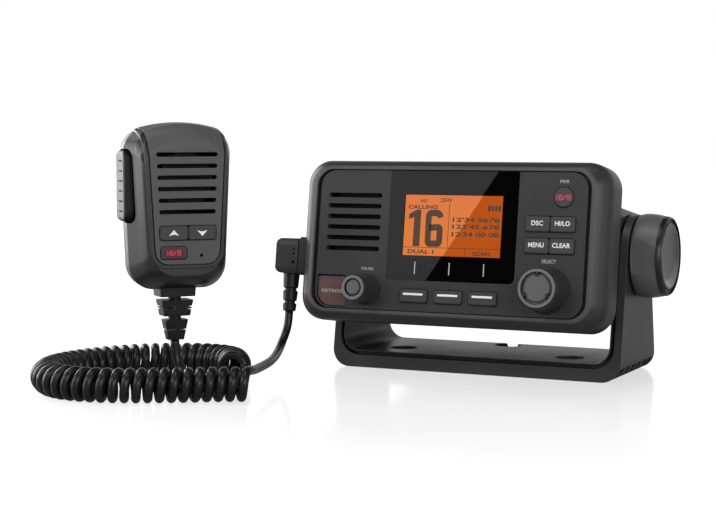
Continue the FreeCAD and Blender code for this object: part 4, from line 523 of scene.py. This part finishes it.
# ---- lines and meshes
def centreline(points, steps):
    """Points of the smooth line that a NURBS curve draws, with steps for each control point."""
    curve = bpy.data.curves.new("route", "CURVE")
    curve.dimensions = "3D"
    curve.resolution_u = steps
    spline = curve.splines.new("NURBS")
    spline.points.add(len(points) - 1)
    for control, point in zip(spline.points, points):
        control.co = (*point, 1)
    spline.order_u = 3
    spline.use_endpoint_u = True
    holder = bpy.data.objects.new("route", curve)
    mesh = bpy.data.meshes.new_from_object(holder)
    line = [vertex.co.copy() for vertex in mesh.vertices]
    bpy.data.objects.remove(holder)
    bpy.data.curves.remove(curve)
    bpy.data.meshes.remove(mesh)
    return line


def spaced(line, step):
    """The line's points that lie at least a step apart, with both of its ends."""
    kept = [line[0]]
    for point in line[1:-1]:
        if (point - kept[-1]).length >= step and (point - line[-1]).length >= step / 2:
            kept.append(point)
    return kept + [line[-1]]


def along(line):
    """Running length at each point of a line."""
    reach = [0.0]
    for a, b in zip(line, line[1:]):
        reach.append(reach[-1] + (b - a).length)
    return reach


def at(line, reach, distance):
    """(point, direction) at a distance along a line."""
    i = 1
    while i < len(line) - 1 and reach[i] < distance:
        i += 1
    share = (distance - reach[i - 1]) / (reach[i] - reach[i - 1])
    return line[i - 1].lerp(line[i], share), (line[i] - line[i - 1]).normalized()


def heading(line, i):
    """Direction of a line at its point i."""
    return (line[min(i + 1, len(line) - 1)] - line[max(i - 1, 0)]).normalized()


def finished(name, mesh):
    """The bmesh as a mesh of that name."""
    data = bpy.data.meshes.new(name)
    mesh.to_mesh(data)
    mesh.free()
    return data


def tube_mesh(name, line, radius, sides=12):
    """Tube round a line, closed at both ends."""
    mesh = bmesh.new()
    turns = [2 * math.pi * k / sides for k in range(sides)]
    rings = []
    side = (line[1] - line[0]).orthogonal()
    for i, point in enumerate(line):
        ahead = heading(line, i)
        side = (side - ahead * side.dot(ahead)).normalized()
        up = ahead.cross(side)
        rings.append([mesh.verts.new(point + radius * (math.cos(a) * side + math.sin(a) * up))
                      for a in turns])
    for low, high in zip(rings, rings[1:]):
        for k in range(sides):
            j = (k + 1) % sides
            mesh.faces.new((low[k], low[j], high[j], high[k])).smooth = True
    mesh.faces.new(list(reversed(rings[0])))
    mesh.faces.new(rings[-1])
    return finished(name, mesh)


def keep(name, mesh, body, material):
    """An object for the mesh that rides on a body and takes its finish from a slot."""
    piece = bpy.data.objects.new(name, mesh)
    scene.collection.objects.link(piece)
    mesh.materials.append(material)
    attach(piece, body)


# ---- cords
def helix(line, reach, shares):
    """Points of the curly stretch between two shares of a line's length.

    It starts above the line and goes down on its left.
    """
    first, last = (round(share * TURNS * POINTS_PER_TURN) for share in shares)
    points = []
    for i in range(first, last + 1):
        turn = i / POINTS_PER_TURN
        point, ahead = at(line, reach, reach[-1] * turn / TURNS)
        level = ahead.cross(UP).normalized()
        angle = 2 * math.pi * turn
        points.append(point + HELIX_R * (math.cos(angle) * UP - math.sin(angle) * level))
    return points


def make_cord(name, points, replaced):
    """A cord along the smooth line through the points, which hides the CAD nodes that it replaces.
    """
    line = spaced(centreline(points, 8), RING_STEP)
    piece = bpy.data.objects.new(name, tube_mesh(name, line, WIRE / 2))
    scene.collection.objects.link(piece)
    piece.data.materials.append(CORD)
    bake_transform(piece)
    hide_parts(*replaced)


def make_cords():
    """The curly cord in two pieces that meet half way round the coil: one from the plug on the
    head, one to the microphone.
    """
    coil = centreline(COIL_RUN, 24)
    reach = along(coil)
    top = HEAD @ Vector(CORD_FROM_HEAD)
    below = HEAD @ (Vector(CORD_FROM_HEAD) - PLUG_STRAIGHT * UP)
    curl = helix(coil, reach, (0.0, 0.5))
    make_cord("cord_from_plug", [top, below] + PLUG_RUN + curl,
              ["cord_plug_run", "cord_coil"])
    top = MIC @ Vector(CORD_FROM_MIC)
    below = MIC @ (Vector(CORD_FROM_MIC) - MIC_STRAIGHT * UP)
    curl = helix(coil, reach, (0.5, 1.0))
    make_cord("cord_to_mic", [top, below] + MIC_RUN + curl[::-1],
              ["cord_mic_run"])


# ---- shapes of marks
def centre_mm(node, home):
    """Middle of a node, in millimetres of the panel's or the microphone's frame."""
    low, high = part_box(node)
    return home.inverted() @ ((low + high) / 2)


def around(node, home, wide, high, lift=0.0):
    """The area of that size about the middle of a node."""
    spot = centre_mm(node, home)
    return (spot.x - wide / 2, spot.x + wide / 2,
            spot.z + lift - high / 2, spot.z + lift + high / 2)


def rectangle(x0, x1, z0, z1):
    return [(x0, z0), (x1, z0), (x1, z1), (x0, z1)]


def rounded(x0, x1, z0, z1, radius):
    """Loop of a rectangle with round corners."""
    loop = []
    for cx, cz, first in ((x1 - radius, z0 + radius, -90), (x1 - radius, z1 - radius, 0),
                          (x0 + radius, z1 - radius, 90), (x0 + radius, z0 + radius, 180)):
        for turn in range(0, 91, 15):
            angle = math.radians(first + turn)
            loop.append((cx + radius * math.cos(angle), cz + radius * math.sin(angle)))
    return loop


def strip(outer, inner):
    """Loops of four points that fill the band between two lines."""
    return [[a, b, d, c] for a, b, c, d in zip(outer, outer[1:], inner, inner[1:])]


def ring(centre, inner, outer, steps=48):
    """Loops that fill a flat ring."""
    turns = [2 * math.pi * i / steps for i in range(steps + 1)]
    edges = [[(centre[0] + radius * math.cos(a), centre[1] + radius * math.sin(a)) for a in turns]
             for radius in (outer, inner)]
    return strip(*edges)


def stroke(points, width):
    """Loops that fill a pen stroke of that width, along the smooth line that the points steer."""
    line = centreline([(x, 0, z) for x, z in points], 8)
    left, right = [], []
    for i, point in enumerate(line):
        aside = heading(line, i) * width / 2
        left.append((point.x - aside.z, point.z + aside.x))
        right.append((point.x + aside.z, point.z - aside.x))
    return strip(left, right)


def placed(points, area):
    """Points of a unit square, moved into an area."""
    x0, x1, z0, z1 = area
    return [(x0 + (x1 - x0) * across, z0 + (z1 - z0) * up) for across, up in points]


def tile(name, loops, home, y, body, material):
    """A mark of flat shapes, raised a little from the face at y."""
    mesh = bmesh.new()
    for loop in loops:
        back = [mesh.verts.new(home @ Vector((x, y, z))) for x, z in loop]
        front = [mesh.verts.new(home @ Vector((x, y - PRINT, z))) for x, z in loop]
        mesh.faces.new(front)
        mesh.faces.new(list(reversed(back)))
        for i in range(len(loop)):
            j = (i + 1) % len(loop)
            mesh.faces.new((front[j], front[i], back[i], back[j]))
    bmesh.ops.recalc_face_normals(mesh, faces=mesh.faces)
    keep(name, finished(name, mesh), body, material)


def lettering(name, words, home, y, area, body, material=WHITE, bold=0.0):
    """Printed words on the face at y, fitted into an area."""
    curve = bpy.data.curves.new(name, "FONT")
    curve.body = words
    curve.offset = bold
    curve.resolution_u = 6
    holder = bpy.data.objects.new(name, curve)
    mesh = bpy.data.meshes.new_from_object(holder)
    bpy.data.objects.remove(holder)
    xs, zs = [v.co.x for v in mesh.vertices], [v.co.y for v in mesh.vertices]
    x0, x1, z0, z1 = area
    scale_x, scale_z = (x1 - x0) / (max(xs) - min(xs)), (z1 - z0) / (max(zs) - min(zs))
    for v in mesh.vertices:
        v.co = (x0 + (v.co.x - min(xs)) * scale_x, y - PRINT, z0 + (v.co.y - min(zs)) * scale_z)
    mesh.transform(home)
    mesh.name = name
    mesh.materials.clear()
    keep(name, mesh, body, material)


def channel_digits(name, home, y, area, body):
    """The two emergency channels, 16/9, in pen strokes."""
    x0, x1, z0, z1 = area
    loops = []
    for points, left, right in CHANNELS:
        part = (x0 + (x1 - x0) * left, x0 + (x1 - x0) * right, z0, z1)
        loops += stroke(placed(points, part), CHANNELS_PEN)
    tile(name, loops, home, y, body, RED_INK)


# ---- marks
def make_key_marks():
    for key in SOFT_KEYS:
        bar = rounded(*around(key, HEAD, *SOFT_KEY_BAR), SOFT_KEY_BAR_CORNER)
        tile(key + "_bar", [bar], HEAD, SOFT_KEY_FACE, key, WHITE)
    for key, (word, wide) in KEY_WORDS.items():
        lettering(key + "_word", word, HEAD, MENU_KEY_FACE, around(key, HEAD, wide, *KEY_WORD),
                  key, bold=BOLD)
    key = "key_channel_sixteen"
    channel_digits("channel_digits", HEAD, CHANNEL_KEY_FACE, around(key, HEAD, *CHANNEL_DIGITS),
                   key)


def make_panel_marks():
    for name, (word, area) in PANEL_WORDS.items():
        lettering(name, word, HEAD, 0.0, area, "head", GREY_INK, BOLD)
    ticks = [rectangle(x - TICK_WIDE / 2, x + TICK_WIDE / 2, *TICK_Z) for x in TICK_X]
    tile("lens_ticks", ticks, HEAD, 0.0, "head", PALE_INK)
    for knob, (centre, face, inner, outer) in KNOB_RINGS.items():
        tile(knob + "_ring", ring(centre, inner, outer), HEAD, face, knob, RING)


def make_display_marks():
    """What the display shows: a channel number, rows of figures and two labels."""
    for name, (word, area, bold) in LCD_WORDS.items():
        lettering(name, word, HEAD, LCD_FACE, area, "head", LCD_INK, bold)
    sixteen = [LCD_ONE] + stroke(placed(SIX, LCD_SIX), LCD_PEN)
    tile("lcd_channel", sixteen, HEAD, LCD_FACE, "head", LCD_INK)
    lines = [rectangle(*area) for area in LCD_LINES]
    battery = [rectangle(x, x + BATTERY_WIDE, *BATTERY_Z) for x in BATTERY_X]
    tile("lcd_lines", lines + battery, HEAD, LCD_FACE, "head", LCD_INK)


def make_cover_marks():
    lettering("cover_word", "DISTRESS", HEAD, COVER_FACE, COVER_WORD, "distress_cover",
              PALE_INK)
    stripes = [rectangle(*STRIPE_X, z - STRIPE_HIGH / 2, z + STRIPE_HIGH / 2) for z in STRIPE_Z]
    tile("cover_stripes", stripes, HEAD, COVER_FACE, "distress_cover", STRIPE_INK)


def make_mic_marks():
    for key, up in (("mic_key_up", 1), ("mic_key_down", -1)):
        spot = centre_mm(key, MIC)
        arrow = [(spot.x + x, spot.z + up * z) for x, z in ARROW]
        tile(key + "_arrow", [arrow], MIC, MIC_KEY_FACE, key, WHITE)
    key = "mic_key_sixteen"
    glow = rounded(*around(key, MIC, *CALL_GLOW), CALL_GLOW_CORNER)
    tile("mic_call_glow", [glow], MIC, MIC_KEY_FACE, key, RED_KEY)
    channel_digits("mic_call_digits", MIC, MIC_KEY_FACE - PRINT, around(key, MIC, *CALL_DIGITS),
                   key)


def make_lever_groove_shade():
    """Painted shade: black sheets in the bottoms of the short grooves across the lever."""
    to_the_left = MIC @ Matrix.Rotation(math.radians(-90), 4, "Z")
    half = GROOVE_HIGH / 2
    bars = [rounded(*GROOVE_Y, z - half, z + half, half) for z in GROOVE_Z]
    tile("lever_groove_shade", bars, to_the_left, LEVER_FACE, "mic_ptt_lever", PAINTED_SHADE_INK)


def make_plug_hole_shade():
    """Painted shade: black discs in the bottoms of the three holes in the plug."""
    discs = [rounded(x - radius, x + radius, z - radius, z + radius, radius)
             for x, z, radius in PLUG_HOLES]
    tile("plug_hole_shade", discs, HEAD, PLUG_HOLE_BOTTOM, "head", PAINTED_SHADE_INK)


def make_antenna_thread():
    """Thread ridge round the antenna socket's barrel, with a pitch of 1 mm."""
    x, y, z = THREAD_AT
    per_turn = 32
    line = []
    for i in range(THREAD_TURNS * per_turn):
        turn = i / per_turn
        angle = 2 * math.pi * turn
        line.append(HEAD @ Vector((x + THREAD_R * math.cos(angle), y + turn,
                                   z + THREAD_R * math.sin(angle))))
    ridge = tube_mesh("antenna_thread", line, THREAD_RIDGE_R * MM, 6)
    keep("antenna_thread", ridge, "head", BRASS)


# ---- stage and light
def make_floor():
    """White floor with the object's soft shadow and a faint reflection in it."""
    mesh = bpy.data.meshes.new("floor")
    corners = [(x, y, 0) for x, y in rectangle(-FLOOR_HALF, FLOOR_HALF, -FLOOR_HALF, FLOOR_HALF)]
    mesh.from_pydata(corners, [], [(0, 1, 2, 3)])
    floor = bpy.data.objects.new("floor", mesh)
    scene.collection.objects.link(floor)
    material, tree, matt = new_material(
        "floor", Base_Color=(FLOOR_COLOR, FLOOR_COLOR, FLOOR_COLOR, 1), Roughness=0.9)
    white = add(tree, "ShaderNodeEmission", Color=PLAIN_WHITE, Strength=FLOOR_WHITE)
    shine = add(tree, "ShaderNodeBsdfGlossy", Color=PLAIN_WHITE, Roughness=FLOOR_ROUGHNESS)
    shadow = add(tree, "ShaderNodeBsdfDiffuse", Color=PLAIN_WHITE)
    where = add(tree, "ShaderNodeTexCoord").outputs["Object"]
    away = add(tree, "ShaderNodeVectorMath", operation="LENGTH", Vector=where).outputs["Value"]
    fading = ranged(tree, away, FLOOR_SHINE, 0.0, *SHINE_FADES)
    studio = mixed(tree, FLOOR_SHADOW, mixed(tree, fading, white, shine), shadow)
    ray = add(tree, "ShaderNodeLightPath").outputs
    in_gloss = ranged(tree, ray["Is Glossy Ray"], 0.0, FLOOR_IN_GLOSS)
    seen = largest(tree, ray["Is Camera Ray"], ray["Is Transmission Ray"], in_gloss)
    fill(tree.nodes["Material Output"], Surface=mixed(tree, seen, matt, studio).outputs[0])
    mesh.materials.append(material)


def make_world():
    """White studio that gloss sees darker overhead, and that lights matt surfaces evenly."""
    world = bpy.data.worlds.new("studio")
    scene.world = world
    world.use_nodes = True
    tree = world.node_tree
    where = add(tree, "ShaderNodeTexCoord").outputs["Generated"]
    axes = add(tree, "ShaderNodeSeparateXYZ", Vector=where)
    overhead = ranged(tree, axes.outputs["Z"], 1.0, ZENITH, *ZENITH_RISE)
    ahead = ranged(tree, axes.outputs["Y"], FRONT, 1.0, *FRONT_REACH)
    ray = add(tree, "ShaderNodeLightPath").outputs
    seen = largest(tree, ray["Is Camera Ray"], ray["Is Transmission Ray"])
    light = add(tree, "ShaderNodeMix", Factor=ray["Is Glossy Ray"], A=WORLD_LIGHT,
                B=maths(tree, "MULTIPLY", overhead, ahead))
    level = add(tree, "ShaderNodeMix", Factor=seen, A=light.outputs["Result"], B=1.0)
    fill(tree.nodes["Background"], Color=PLAIN_WHITE, Strength=level.outputs["Result"])


def make_softbox(name, azimuth, elevation, distance, width, height, radiance):
    """Area lamp on the object that looks as bright as radiance says, where white is 1."""
    data = bpy.data.lights.new(name, "AREA")
    data.shape = "RECTANGLE"
    data.size, data.size_y = width, height
    data.energy = radiance * math.pi * width * height
    light = bpy.data.objects.new(name, data)
    scene.collection.objects.link(light)
    turn, rise = math.radians(azimuth), math.radians(elevation)
    away = Vector((math.sin(turn) * math.cos(rise), -math.cos(turn) * math.cos(rise),
                   math.sin(rise)))
    aim = away.to_track_quat("Z", "Y").to_matrix().to_4x4()
    light.matrix_world = Matrix.Translation(LIT + distance * away) @ aim


make_camera()
dress()
make_smooth_shading()
make_cords()
make_key_marks()
make_panel_marks()
make_display_marks()
make_cover_marks()
make_mic_marks()
make_lever_groove_shade()
make_plug_hole_shade()
make_antenna_thread()
make_floor()
make_world()
for name, values in SOFTBOXES.items():
    make_softbox(name, *values)

scene.view_settings.view_transform = "Standard"
